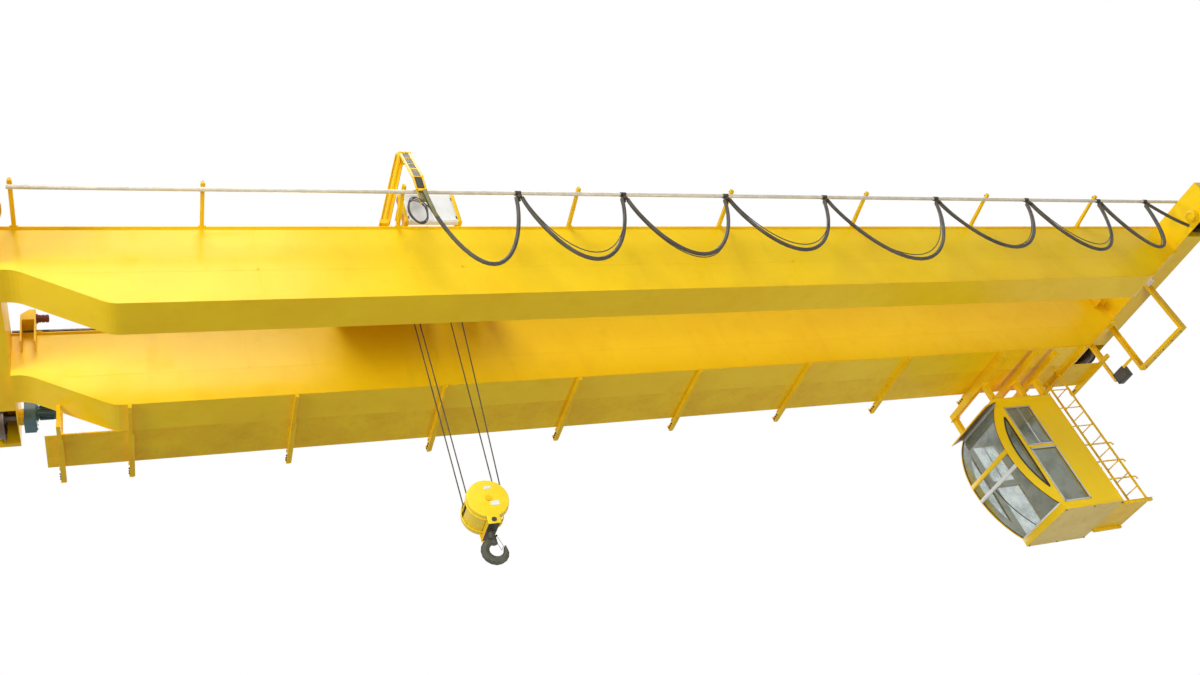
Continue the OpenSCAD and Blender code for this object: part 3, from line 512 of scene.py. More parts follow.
def addRound(a, b, radius, sides=20, edge=0.0, rounds=2):  # a shaft or disc from a to b, its rims rounded
    deselectAll()
    a, b = Vector(a), Vector(b)
    turn = (b - a).to_track_quat("Z", "Y").to_euler()
    bpy.ops.mesh.primitive_cylinder_add(vertices=sides, radius=radius, depth=(b - a).length,
                                        location=(a + b) / 2, rotation=turn)
    item = bpy.context.object
    if edge:
        selectFaces(item, lambda face: abs(face.normal.z) > 0.9)
        bpy.ops.mesh.region_to_loop()
        bevelPicked(edge, rounds)
    return item


def blocks(*rows):
    return [addBlock(*row) for row in rows]


def shafts(*rows):
    return [addRound(*row) for row in rows]


def addRing(place, radius, thick, sides, round):  # a torus whose axis is Y
    deselectAll()
    bpy.ops.mesh.primitive_torus_add(location=place, rotation=(math.pi / 2, 0, 0), major_radius=radius,
                                     minor_radius=thick, major_segments=sides, minor_segments=round)
    return bpy.context.object


def pushFaces(item, test, thickness, depth):  # inset the chosen faces and push them in or out
    selectFaces(item, test)
    bpy.ops.mesh.inset(thickness=thickness, depth=depth)
    bpy.ops.object.mode_set(mode="OBJECT")
    return item


def joinAll(name, items):
    deselectAll()
    for item in items:
        item.select_set(True)
    bpy.context.view_layer.objects.active = items[0]
    if len(items) > 1:
        bpy.ops.object.join()
    items[0].name = name
    items[0].data.name = name
    pickOnly(items[0])
    bpy.ops.object.shade_smooth_by_angle(angle=math.radians(35))
    return items[0]


def piece(name, parts, body, finish):
    return settle(joinAll(name, parts), body, finish)


def copyTo(item, matrix):
    twin = item.copy()
    twin.data = item.data.copy()
    bpy.context.scene.collection.objects.link(twin)
    twin.matrix_world = matrix @ item.matrix_world
    return twin


def shifted(x, y, z):
    return Matrix.Translation((x, y, z))


def facing(normal, place):  # turns +Z to the normal and moves the origin to the place
    return Matrix.Translation(place) @ Vector(normal).to_track_quat("Z", "Y").to_matrix().to_4x4()


def mirrored(item, axis, middle):  # a copy on the other side of a plane, with its faces turned outward again
    flip = Matrix.Scale(-1, 4, axis)
    twin = copyTo(item, Matrix.Translation(Vector(axis) * 2 * middle) @ flip)
    pickOnly(twin)
    bpy.ops.object.transform_apply(location=True, rotation=True, scale=True)
    bpy.ops.object.mode_set(mode="EDIT")
    bpy.ops.mesh.select_all(action="SELECT")
    bpy.ops.mesh.normals_make_consistent(inside=False)
    bpy.ops.object.mode_set(mode="OBJECT")
    return twin


def plateAlong(a, b, across, width, thick, edge=0.0):  # a flat bar from a to b, width along `across`
    a, b, side = Vector(a), Vector(b), Vector(across).normalized()
    run = (b - a).normalized()
    side = (side - run * side.dot(run)).normalized()
    turn = Matrix([run, side, run.cross(side)]).transposed().to_4x4()
    corner = (b - a).length / 2, width / 2, thick / 2
    item = addBlock([-v for v in corner], corner, edge)
    item.matrix_world = Matrix.Translation((a + b) / 2) @ turn @ item.matrix_world
    return item


def ribsRound(low, high, edge, middle, axis, count):  # a rib copied round a motor
    ribs = [addBlock(low, high, edge, 1) for i in range(count)]
    for rib, t in zip(ribs, arc(2 * math.pi, count)):
        rib.matrix_world = Matrix.Translation(middle) @ Matrix.Rotation(t, 4, axis) @ rib.matrix_world
    return ribs


def modelBolt():  # a hexagon head on its washer, 1 across and pointing up
    washer, head = ((0, 0, 0), (0, 0, 0.1), 0.5, 12), ((0, 0, 0.1), (0, 0, 0.5), 0.4, 6, 0.05, 1)
    return joinAll("boltModel", shafts(washer, head))


boltModel = modelBolt()
up, down = (0, 0, 1), (0, 0, -1)


def boltsAt(rows):  # place, normal and size of each bolt
    return [copyTo(boltModel, facing(normal, place) @ Matrix.Scale(size, 4)) for place, normal, size in rows]


def boltRing(place, normal, radius, count, size, first=0.0):  # round a face along X or Y
    x, y, z = place
    rows = []
    for t in arc(2 * math.pi, count):
        aside, rise = radius * math.cos(first + t), radius * math.sin(first + t)
        spot = (x, y + aside, z + rise) if normal[0] else (x + aside, y, z + rise)
        rows.append((spot, normal, size))
    return rows


def boltPiece(name, rows, body):
    piece(name, boltsAt(rows), body, "boltSteel")


def steps(first, last, count):
    return [first + (last - first) * i / (count - 1) for i in range(count)]


bridge = {  # the CAD's own lines, in metres
    "span": 21.0, "top": 0.64, "low": -0.73, "end": -0.12, "frontY": -1.0, "rearY": 1.0, "railY": 0.79,
    "halfBox": 0.26, "flange": 0.012, "beamTipY": 2.29, "beamDepth": 0.08, "firstBeam": 1.69, "endBeam": 0.8,
}
b = bridge
span, top, deck = b["span"], b["top"], b["low"]
underLine = [(0.25, b["end"]), (0.42, b["end"]), (0.62, b["end"] - 0.1), (1.34, deck + 0.1),
             (1.58, deck + 0.006), (1.7, deck)]


def bothEnds(*rows):  # pieces at the left end and their mirror images at the right end
    left = [joinAll("left" + name, parts) for name, parts, finish in rows]
    for item, (name, parts, finish) in zip(left, rows):
        right = mirrored(item, (1, 0, 0), span / 2)
        right.name = "right" + name
        settle(item, "root", finish)
        settle(right, "root", finish)


def girderWelds(size):  # fillets along the plates, and butt welds where the webs' plates meet
    parts = []
    seam, butt, z = size["seamWide"] / 2, size["buttWide"] / 2, size["seamZ"]
    rows = [(0.9, span - 0.9, z - seam, z + seam)]
    rows += [(x - butt, x + butt, deck + 0.013, top - 0.013) for x in size["buttX"]]
    for middle in (b["frontY"], b["rearY"]):
        for side in (-1, 1):
            y = middle + side * b["halfBox"]
            line = [(x, y, z + b["flange"]) for x, z in underLine]
            line += [(span - x, y, z) for x, y, z in reversed(line)]
            upper = [(0.26, y, top - b["flange"]), (span - 0.26, y, top - b["flange"])]
            parts += [lineThrough("weld", run, size["fillet"]) for run in (line, upper)]
            inner, outer = y - side * 0.001, y + side * size["proud"]
            parts += [addBlock((x0, inner, z0), (x1, outer, z1), 0.0008, 1) for x0, x1, z0, z1 in rows]
    piece("girderWelds", parts, "root", "paintedYellow")


def railClips(size):  # clamps that hold the rails down, a pair at each place
    clip = addBlock((-0.03, 0.0, 0.0), (0.03, 0.055, 0.014), 0.003)
    pushFaces(clip, onTop, 0.008, 0.002)
    parts, heads = [], []
    for x in steps(0.6, span - 0.6, size["count"]):
        for y in (-b["railY"], b["railY"]):
            for side, angle in ((-1, math.pi), (1, 0)):
                turn = Matrix.Rotation(angle, 4, "Z")
                parts.append(copyTo(clip, shifted(x, y + side * size["aside"], top) @ turn))
                heads.append(((x, y + side * size["boltAside"], top + 0.015), up, 0.028))
    bpy.data.objects.remove(clip)
    piece("railClips", parts, "root", "machineYellow")
    boltPiece("railClipBolts", heads, "root")


def beamFittings(size):  # lips, end plates and three bolts at each tip of the walkway's beams
    parts, heads = [], []
    tip, low, end, first = b["beamTipY"], deck - b["beamDepth"], b["endBeam"], b["firstBeam"]
    for x in [end] + steps(first, span - first, size["count"]) + [span - end]:
        parts += blocks(((x - 0.034, tip - 0.001, low - 0.006), (x + 0.034, tip + 0.008, deck + 0.03), 0.002),
                        ((x + 0.025, 1.3, low - 0.001), (x + 0.045, tip - 0.002, low + 0.006), 0.0015, 1),
                        ((x - 0.04, 2.03, deck - 0.012), (x + 0.04, 2.1, deck + 0.006), 0.002))
        heads += [((x - 0.025, tip - back, low + 0.04), (-1, 0, 0), 0.034) for back in size["boltsBack"]]
    piece("beamTips", parts, "root", "machineYellow")
    boltPiece("beamBolts", heads, "root")


def deckFittings(size):  # seams of the deck, its toe board's cleats and the handrail's feet
    parts = [addBlock((x - 0.008, 1.31, deck - 0.0015), (x + 0.008, 2.0, deck + 0.0085), 0.0008, 1)
             for x in steps(size["firstSeam"], span - size["firstSeam"], 7)]
    y, z, thick = size["postY"], size["kneeZ"], size["sleeve"]
    for x in steps(size["firstPost"], span - size["firstPost"], 19):
        parts.append(addBlock((x - 0.045, y - 0.037, deck + 0.006),
                              (x + 0.045, y + 0.02, deck + 0.014), 0.002))
        parts += shafts(((x, y, deck + 0.006), (x, y, deck + 0.09), thick, 16, 0.003),
                        ((x, y, 0.30), (x, y, 0.345), thick, 16, 0.006),
                        ((x - 0.03, y, z), (x + 0.03, y, z), 0.0245, 16, 0.005))
    piece("deckFittings", parts, "root", "machineYellow")


def carriageFittings(size):  # bearing covers, splice plates, hatches and the plates behind the buffers
    parts, heads = [], []
    for side, y in ((-1, -2.0), (-1, 2.0), (1, -2.0)):
        face, rim = side * size["capX"], side * (size["capX"] + 0.02)
        cap = addRound((face, y, 0.18), (rim, y, 0.18), size["cap"], 36, 0.004)
        parts.append(pushFaces(cap, onTop, 0.045, 0.008))
        heads += boltRing((rim, y, 0.18), (side, 0, 0), 0.085, 6, 0.026, math.radians(30))
    for y in (b["frontY"] - 0.13, b["rearY"] + 0.13):
        parts.append(addBlock((0.04, y - 0.12, top), (0.48, y + 0.12, top + 0.012), 0.003))
        heads += [((x, y + w, top + 0.012), up, 0.032) for x in size["spliceX"] for w in (-0.08, 0, 0.08)]
    for out in (-1, 1):
        y, face = out * size["bufferY"], out * (size["bufferY"] + 0.014)
        parts.append(addBlock((-0.13, y, 0.254), (0.13, face, 0.514), 0.004))
        heads += [((x, face, z), (0, out, 0), 0.03) for x in (-0.1, 0.1) for z in (0.284, 0.484)]
    for y in (-0.35, 0.35):
        parts.append(addRound((-0.25, y, 0.33), (-0.258, y, 0.33), 0.12, 32, 0.002))
        heads += boltRing((-0.258, y, 0.33), (-1, 0, 0), 0.1, 8, 0.02)
    for y in (-1.6, 1.6):  # the weld of the pocket's inner plate shows on the side
        parts.append(addBlock((-0.2515, y - 0.008, 0.02), (-0.249, y + 0.008, top - 0.02), 0.0008, 1))
    bothEnds(("CarriageFittings", parts, "paintedYellow"), ("CarriageBolts", boltsAt(heads), "boltSteel"))


def travelMotor(size):  # the travel motor's ribs, cowl and terminal box, and the gearbox's cover
    y, z = size["middle"]
    parts = ribsRound((0.515, -0.004, 0.09), (0.70, 0.004, 0.112), 0.0015, (0, y, z), "X", size["ribs"])
    parts.append(addRound((0.70, y, z), (0.755, y, z), 0.11, 40, 0.01, 3))
    parts.append(pushFaces(addRound((0.755, y, z), (0.762, y, z), 0.085, 32), onTop, 0.02, -0.004))
    parts += blocks(((0.56, y - 0.05, z + 0.085), (0.68, y + 0.05, z + 0.16), 0.008),
                    ((0.553, y - 0.057, z + 0.15), (0.687, y + 0.057, z + 0.162), 0.004))
    parts.append(addRound((0.62, y - 0.05, z + 0.12), (0.62, y - 0.085, z + 0.12), 0.014, 12, 0.002))
    parts.append(addBlock((0.4703, y - 0.135, 0.015), (0.482, y + 0.135, 0.345), 0.004))
    parts += [addBlock((0.335, y + k - 0.006, 0.359), (0.455, y + k + 0.006, 0.372), 0.003)
              for k in (-0.1, 0, 0.1)]
    parts.append(addRound((0.39, y + 0.06, 0.36), (0.39, y + 0.06, 0.395), 0.016, 12, 0.003))
    heads = [((0.482, y + v, w), (1, 0, 0), 0.022) for v in (-0.115, 0.115) for w in steps(0.035, 0.325, 5)]
    bothEnds(("DriveFittings", parts, "driveGrey"), ("DriveBolts", boltsAt(heads), "boltSteel"))


girderWelds({"fillet": 0.006, "proud": 0.0016, "seamZ": -0.155, "seamWide": 0.03, "buttWide": 0.018,
             "buttX": [3.3, 6.1, 8.9, 11.7, 14.5, 17.3]})
railClips({"count": 27, "aside": 0.043, "boltAside": 0.075})
beamFittings({"count": 9, "boltsBack": (0.03, 0.09, 0.15)})
deckFittings({"firstSeam": 3.09, "firstPost": 0.795, "postY": 1.992, "kneeZ": -0.199, "sleeve": 0.026})
carriageFittings({"cap": 0.105, "capX": 0.3255, "bufferY": 2.45,
                  "spliceX": (0.09, 0.16, 0.23, 0.29, 0.36, 0.43)})
travelMotor({"middle": (2.0, 0.24), "ribs": 22})
print("bridge fittings made")


cabin = {"x": (17.05, 18.5), "y": (1.42, 2.69), "z": (-3.87, -1.33), "arcZ": (-3.72, -1.43), "bulge": 0.47,
         "crescentIn": 0.19, "windowX": (17.16, 17.75), "upper": (-2.43, -1.59), "lower": (-3.69, -2.55)}
c = cabin
cabinX, cabinY, cabinZ = c["x"], c["y"], c["z"]
arcTall = c["arcZ"][1] - c["arcZ"][0]
arcRadius = arcTall ** 2 / 8 / c["bulge"] + c["bulge"] / 2
arcMiddle = (cabinX[0] - c["bulge"] + arcRadius, sum(c["arcZ"]) / 2)
arcHalf = math.asin(arcTall / 2 / arcRadius)


def arcPoint(share, inset, y):  # 0 at the top front corner, 1 at the bottom one
    t = math.pi - arcHalf + 2 * arcHalf * share
    r = arcRadius - inset
    return (arcMiddle[0] + r * math.cos(t), y, arcMiddle[1] + r * math.sin(t))


def crescentLine(y):  # round the curved side window
    x1, low, high = cabinX[0] - 0.03, c["arcZ"][0] + 0.3, c["arcZ"][1] - 0.26
    line = [arcPoint(i / 48, c["crescentIn"], y) for i in range(49)]
    line = [point for point in line if point[0] < x1 and low < point[2] < high]
    first, last = line[0][2], line[-1][2]
    return line + [(x1 - 0.004, y, last + 0.01), (x1, y, last + 0.05), (x1, y, first - 0.05),
                   (x1 - 0.004, y, first - 0.01), line[0]]


def frontBand(share, halfTall, outset, thick, edge=0.003):  # a bar across the front glass
    y0, y1 = cabinY[0] + 0.03, cabinY[1] - 0.03
    upper, lower = [Vector(arcPoint(share + tall, -outset, 0)) for tall in (-halfTall, halfTall)]
    middle, half = Vector((0, (y0 + y1) / 2, 0)) + (upper + lower) / 2, Vector((0, (y1 - y0) / 2, 0))
    return plateAlong(middle - half, middle + half, upper - lower, (upper - lower).length, thick, edge)


def cabinFront(size):  # the frame round the front glass and the bars across it
    y0, y1 = cabinY
    yellow, white = size["yellowBar"], size["whiteBar"]
    frameParts = [lineThrough("rim", [arcPoint(i / 40, -0.002, y) for i in range(41)], size["rim"])
                  for y in (y0 + 0.02, y1 - 0.02)]
    frameParts.append(frontBand(yellow, 0.017, 0.006, 0.03))
    pale = [frontBand(white, 0.013, 0.006, 0.026)]
    pale += [frontBand(share, 0.005, 0.003, 0.02) for share in (0.006, 0.994)]
    seals = [(y, 0.0, 0.009, ends) for y in (y0 + 0.045, y1 - 0.045)
             for ends in ((0.01, yellow - 0.02, 24), (yellow + 0.02, 0.99, 24))]
    seals += [(y, -0.004, 0.008, (white + 0.015, 0.985, 20)) for y in size["mullions"]]
    grey = [lineThrough("seal", [arcPoint(share, inset, y) for share in steps(a, d, count + 1)], thick)
            for y, inset, thick, (a, d, count) in seals]
    piece("cabinFrontFrame", frameParts, "root", "paintedYellow")
    piece("cabinFrontBars", pale, "root", "panelWhite")
    piece("cabinFrontSeals", grey, "root", "gasketRubber")


def loopOf(x, y, z):  # an upright rectangle's corners, back to the first
    return [(x[i], y[i], z[j]) for i, j in ((0, 0), (1, 0), (1, 1), (0, 1), (0, 0))]


def cabinSides(size):  # seals and frames of the side windows, with a bar and a catch in the upper pane
    seals, bars = [], []
    x0, x1 = c["windowX"]
    inner, rim, gap, middle = size["sealIn"], size["rim"], 0.004, (x0 + x1) / 2
    for y, out in ((cabinY[0], -1), (cabinY[1], 1)):
        seals.append(lineThrough("crescentSeal", crescentLine(y + out * 0.004), 0.016))
        for z0, z1 in (c["upper"], c["lower"]):
            ring = loopOf((x0 + inner, x1 - inner), (y, y), (z0 + inner, z1 - inner))
            seals.append(lineThrough("windowSeal", ring, 0.0055))
            back, face, catchZ = y - out * 0.014, y + out * 0.01, (z0 + z1) / 2
            if z1 == c["upper"][1]:
                bars += blocks(((middle - 0.013, back, z0), (middle + 0.013, face, z1), 0.002),
                               ((middle + 0.016, back, catchZ - 0.045),
                                (middle + 0.026, face, catchZ + 0.045), 0.003))
            back, face = y + out * 0.0118, y + out * 0.016
            for a, d in ((z0 - rim, z0 - gap), (z1 + gap, z1 + rim)):
                bars.append(addBlock((x0 - rim, back, a), (x1 + rim, face, d), 0.0015, 1))
            for a, d in ((x0 - rim, x0 - gap), (x1 + gap, x1 + rim)):
                bars.append(addBlock((a, back, z0 - rim), (d, face, z1 + rim), 0.0015, 1))
    piece("sideWindowSeals", seals, "root", "gasketRubber")
    piece("sideWindowBars", bars, "root", "windowAluminium")


def cabinShell(size):  # edges, visor, bolts, door fittings and the posts' plates
    (x0, x1), (y0, y1), (z0, z1) = cabinX, cabinY, cabinZ
    reach, drop = size["visor"]
    visor = addBlock((-reach, y0 + 0.012, -0.0015), (0.0, y1 - 0.012, 0.0015), 0.001, 1)
    slope = Matrix.Rotation(-math.atan2(drop, reach), 4, "Y")
    visor.matrix_world = shifted(x0, 0, z1 - 0.0625) @ slope @ visor.matrix_world
    trim = blocks(((x0 - reach - 0.003, y0 - 0.002, z1 - 0.176),
                   (x0 - reach + 0.012, y1 + 0.002, z1 - 0.146), 0.004),
                  ((x0 - 0.004, y0 - 0.004, z1 - 0.062), (x1 + 0.004, y0 + 0.008, z1 + 0.004), 0.002),
                  ((x0 - 0.004, y1 - 0.008, z1 - 0.062), (x1 + 0.004, y1 + 0.004, z1 + 0.004), 0.002),
                  ((x0 - 0.012, y0, z0 + 0.005), (x0 + 0.004, y1, c["arcZ"][0] + 0.004), 0.004))
    for y, face in ((y0, y0 - 0.006), (y1, y1 + 0.006)):
        trim += blocks(((x0, y, z0 + 0.002), (x1, face, z0 + 0.058), 0.002),
                       ((x1 - 0.05, y, z0 + 0.06), (x1 + 0.003, face, z1 - 0.06), 0.002))
    bolts = [((x, y, z0), down, 0.03) for x in (x0 + 0.03, (x0 + x1) / 2, x1 - 0.03)
             for y in (y0 + 0.03, y1 - 0.03)]
    foot, bolt = size["postPlate"], size["postBolt"]
    for x in (x0 + 0.06, x0 + 0.86, x1 - 0.06):
        for y in (y0 + 0.07, y1 - 0.09):
            trim += [addBlock((x - foot, y - foot, z), (x + foot, y + foot, z + 0.012), 0.003)
                     for z in (z1, size["upperPlateZ"])]
            bolts += [((x + i, y + j, z1 + 0.012), up, 0.03) for i in (-bolt, bolt) for j in (-bolt, bolt)]
    leafX, (doorY0, doorY1), (doorZ0, doorZ1) = x1 + 0.03, size["doorPaneY"], size["doorPaneZ"]
    seal = loopOf((leafX, leafX), (doorY0 + 0.006, doorY1 - 0.006), (doorZ0 + 0.006, doorZ1 - 0.006))
    doorSeal = lineThrough("doorSeal", seal, 0.009)
    pane = addBlock((x1 + 0.012, doorY0, doorZ0), (x1 + 0.018, doorY1, doorZ1), 0.001, 1)
    handle = shafts(*[((leafX, 2.1, z), (leafX + 0.045, 2.1, z), 0.009, 12) for z in (-2.72, -2.92)],
                    ((leafX + 0.04, 2.1, -2.94), (leafX + 0.04, 2.1, -2.70), 0.011, 16, 0.004))
    handle.append(addBlock((x1, y0 + 0.04, -1.90), (x1 + 0.045, y1 - 0.02, -1.87), 0.004))
    handle += [addBlock((x1 + 0.03, y - 0.03, -1.93), (x1 + 0.042, y + 0.03, -1.86), 0.003)
               for y in (2.17, 2.56)]
    piece("cabinEdges", trim, "root", "paintedYellow")
    piece("cabinVisorLining", [visor], "root", "visorBrown")
    boltPiece("cabinBolts", bolts, "root")
    settle(doorSeal, "root", "gasketRubber")
    piece("doorPane", [pane], "root", "cabinGlass")
    piece("doorHandle", handle, "root", "windowAluminium")


def cabinAccess(size):  # the landing's bent hand hoops, its toe edge, and the ladder's feet
    z0, x0, x1, y = cabinZ[0], cabinX[1], size["landingX"], size["hoopY"]
    bend = arc(math.pi / 2, 6, 1)[1:]
    parts = []
    for z in (z0 + 0.55, z0 + 1.1):
        hoop = [(x1 - 0.03, y, z)]
        hoop += [(x1 - 0.03 + 0.09 * math.sin(t), y - 0.09 * (1 - math.cos(t)), z) for t in bend]
        hoop += [(x1 + 0.06, y - 0.2 - 0.05 * i, z) for i in range(4)]
        hoop += [(x1 + 0.06 - 0.07 * (1 - math.cos(t)), y - 0.35 - 0.07 * math.sin(t), z) for t in bend]
        parts.append(lineThrough("hoop", hoop, 0.0155))
    for x in (x0 + 0.06, x1 - 0.03):
        parts += shafts(((x, y, z0 + 0.006), (x, y, z0 + 0.06), 0.024, 16, 0.003),
                        ((x, y, z0 + 1.075), (x, y, z0 + 1.118), 0.021, 16, 0.006))
    parts += blocks(((x0 + 0.002, 2.462, z0), (x1, 2.47, z0 + 0.1), 0.002),
                    ((x1 - 0.008, 1.83, z0), (x1, 2.47, z0 + 0.1), 0.002),
                    ((x0, 1.43, z0 - 0.05), (x1 - 0.02, 1.48, z0 - 0.0005), 0.004),
                    ((x0, 2.38, z0 - 0.05), (x1 - 0.02, 2.43, z0 - 0.0005), 0.004))
    for y in (1.46, 1.82):
        parts += blocks(((19.085, y - 0.012, z0 + 0.006), (19.175, y + 0.012, z0 + 0.03), 0.003),
                        ((19.09, y - 0.011, -0.75), (19.17, y + 0.011, -0.70), 0.003))
    nearY, hook = size["railY"], 0.06
    for height, reach, thick, hooked in size["rails"]:
        z, turnX = z0 + height, x0 + reach - hook
        line = [(x0 + 0.001, nearY, z), (turnX, nearY, z)]
        if hooked:
            line += [(turnX + hook * math.sin(t), nearY - 0.001, z - hook * (1 - math.cos(t))) for t in bend]
        else:
            line.append((x0 + reach, nearY, z))
        parts.append(lineThrough("sideRail", line, thick))
    piece("landingHoops", parts, "root", "machineYellow")


cabinFront({"rim": 0.0125, "yellowBar": 0.475, "whiteBar": 0.60, "mullions": [2.2]})
cabinSides({"sealIn": 0.006, "rim": 0.03})
cabinShell({"visor": (0.33, 0.11), "postPlate": 0.08, "postBolt": 0.064, "upperPlateZ": -0.942,
            "doorPaneY": (2.15, 2.58), "doorPaneZ": (-2.77, -2.07)})
cabinAccess({"landingX": 19.25, "hoopY": 2.44, "railY": 1.448,
             "rails": [*[(height, 0.74, 0.0155, True) for height in (0.5, 0.9, 1.3)],
                       *[(height, 0.62, 0.012, False) for height in (1.75, 2.2, 2.65)]]})
print("cabin fittings made")


def pipeArmFittings(size):  # foot clamps, stiffeners and the bolts over the pipe
    parts, bolts, y = [], [], festoon["y"]
    for x in size["armX"]:
        parts.append(addBlock((x - 0.05, -1.30, top), (x + 0.05, -1.22, top + 0.012), 0.003))
        parts.append(plateAlong((x, -1.3, 0.665), (x, -1.84, 0.752), (0, 0.16, 1), 0.05, 0.008, 0.002))
        parts.append(addBlock((x - 0.03, y - 0.055, 0.724), (x + 0.03, y + 0.055, 0.7305), 0.002))
        parts.append(addRound((x, y, 0.705), (x, y, 0.728), size["boss"], 16, 0.002))
        bolts += [((x, y, 0.77), up, 0.05), ((x - 0.035, -1.235, top + 0.012), up, 0.026),
                  ((x + 0.035, -1.235, top + 0.012), up, 0.026), ((x, y - 0.045, 0.77), up, 0.03)]
    piece("pipeArmClamps", parts, "root", "machineYellow")
    boltPiece("pipeArmBolts", bolts, "root")


def hangerFittings(size):  # cheeks, bolts and the cable clip of one hanger, copied along the pipe
    y, z, parts = size["y"], size["saddleZ"], []
    for out in (-1, 1):
        inner, clip, face, normal = y + out * 0.006, y + out * 0.012, y + out * 0.043, (0, out, 0)
        parts.append(addRound((0, y + out * 0.036, z), (0, face, z), 0.034, 28, 0.002))
        parts.append(addBlock((-0.045, inner, 0.6), (0.045, clip, 0.636), 0.003))
        parts += boltsAt([((x, clip, 0.618), normal, 0.018) for x in (-0.025, 0.025)])
        parts += boltsAt([((0, face, z), normal, 0.024)])
    model = joinAll("hangerModel", parts)
    for body, x in zip(size["bodies"], size["stations"]):
        twin = copyTo(model, shifted(x, 0, 0))
        twin.name = "hangerFittings_" + str(round(x * 100))
        settle(twin, body, "hangerIron")
    bpy.data.objects.remove(model)


pipeArmFittings({"armX": [0.44] + [2.665 + 2.6575 * i for i in range(7)] + [21.03], "boss": 0.014})
hangerFittings(festoon)
print("festoon fittings made")


def collectorFittings(size):  # the frame's inner lips and gussets, and the boxes beside it
    (x0, x1), low, parts, bolts = size["x"], size["low"], [], []
    lips = (x0, x0 + 0.01), (x1 - 0.01, x1)
    for y, inward in ((-0.3, 1), (0.98, -1)):
        parts += [addBlock((a, y + inward * 0.014, low), (d, y + inward * 0.05, -0.014), 0.002)
                  for a, d in lips]
        bolts += [((x, y + v, -0.0123), down, 0.026) for x in (x0 + 0.03, x1 - 0.03) for v in (-0.05, 0.05)]
    parts += [addBlock((a, -0.25, low), (d, 0.93, low + 0.036), 0.002) for a, d in lips]
    parts += [addBlock((x0 + 0.04, y, -1.2), (x0 + 0.1, y + 0.04, -1.12), 0.006) for y in (-0.29, 0.93)]
    bolts += [((x0 + 0.07, y, -1.224), down, 0.026) for y in steps(-0.2, 0.88, 5)]
    boxes = blocks(((20.715, -0.52, -0.13), (20.745, -0.34, 0.02), 0.008),
                   ((20.70, 1.44, -0.02), (20.745, 1.62, 0.16), 0.008))
    case = addBlock((x0 - 0.006, 1.284, -1.096), (x1 + 0.004, 1.596, -0.854), 0.006)
    pushFaces(case, lambda face: face.normal.x < -0.9, 0.02, 0.006)
    piece("collectorLips", parts, "root", "machineYellow")
    boltPiece("collectorBolts", bolts, "root")
    piece("smallBoxes", boxes, "root", "panelWhite")
    piece("collectorShoeCase", [case], "root", "infillDark")


collectorFittings({"x": (20.76, 20.90), "low": -1.196})
print("collector fittings made")


trolley = {"webY": 0.89, "axleX": (5.0, 6.8), "axleZ": 0.88, "bed": 1.068, "drumX": 6.585, "drumZ": 1.17,
           "drumRadius": 0.25, "drumHalf": 0.5, "motorX": 5.905, "motorZ": 1.238, "motorRadius": 0.15,
           "gearY": (0.56, 0.83), "gearZ": 1.19}
t0 = trolley
drumX, drumZ, bed = t0["drumX"], t0["drumZ"], t0["bed"]


def drumDress(size):  # the grooves, the rope that lies in them, and the drum's end flanges
    r, half, wound = t0["drumRadius"], t0["drumHalf"], []
    lay, angles = r + 0.007, arc(2 * math.pi * size["turns"], 30 * size["turns"], 1)
    for side in (-1, 1):
        line = [(drumX + lay * math.cos(t), side * (0.288 + size["pitch"] * i / 30),
                 drumZ + lay * math.sin(t)) for i, t in enumerate(angles)]
        wound.append(lineThrough("wound", line, 0.009))
    flanges = [addRound((drumX, side * (half - 0.024), drumZ), (drumX, side * (half - 0.004), drumZ),
                        size["flange"], 64, 0.003) for side in (-1, 1)]
    for side in (-1, 1):
        flanges += boltsAt(boltRing((drumX, side * (half - 0.003), drumZ), (0, side, 0), 0.2, 8, 0.03))
    ridges = [addRing((drumX, y, drumZ), r, 0.004, 48, 6) for y in steps(-0.27, 0.27, size["ridges"])]
    piece("drumRope", wound, "trolley", "cableSheath")
    piece("drumFlanges", flanges, "trolley", "railSteel")
    piece("drumGrooves", ridges, "trolley", "railSteel")


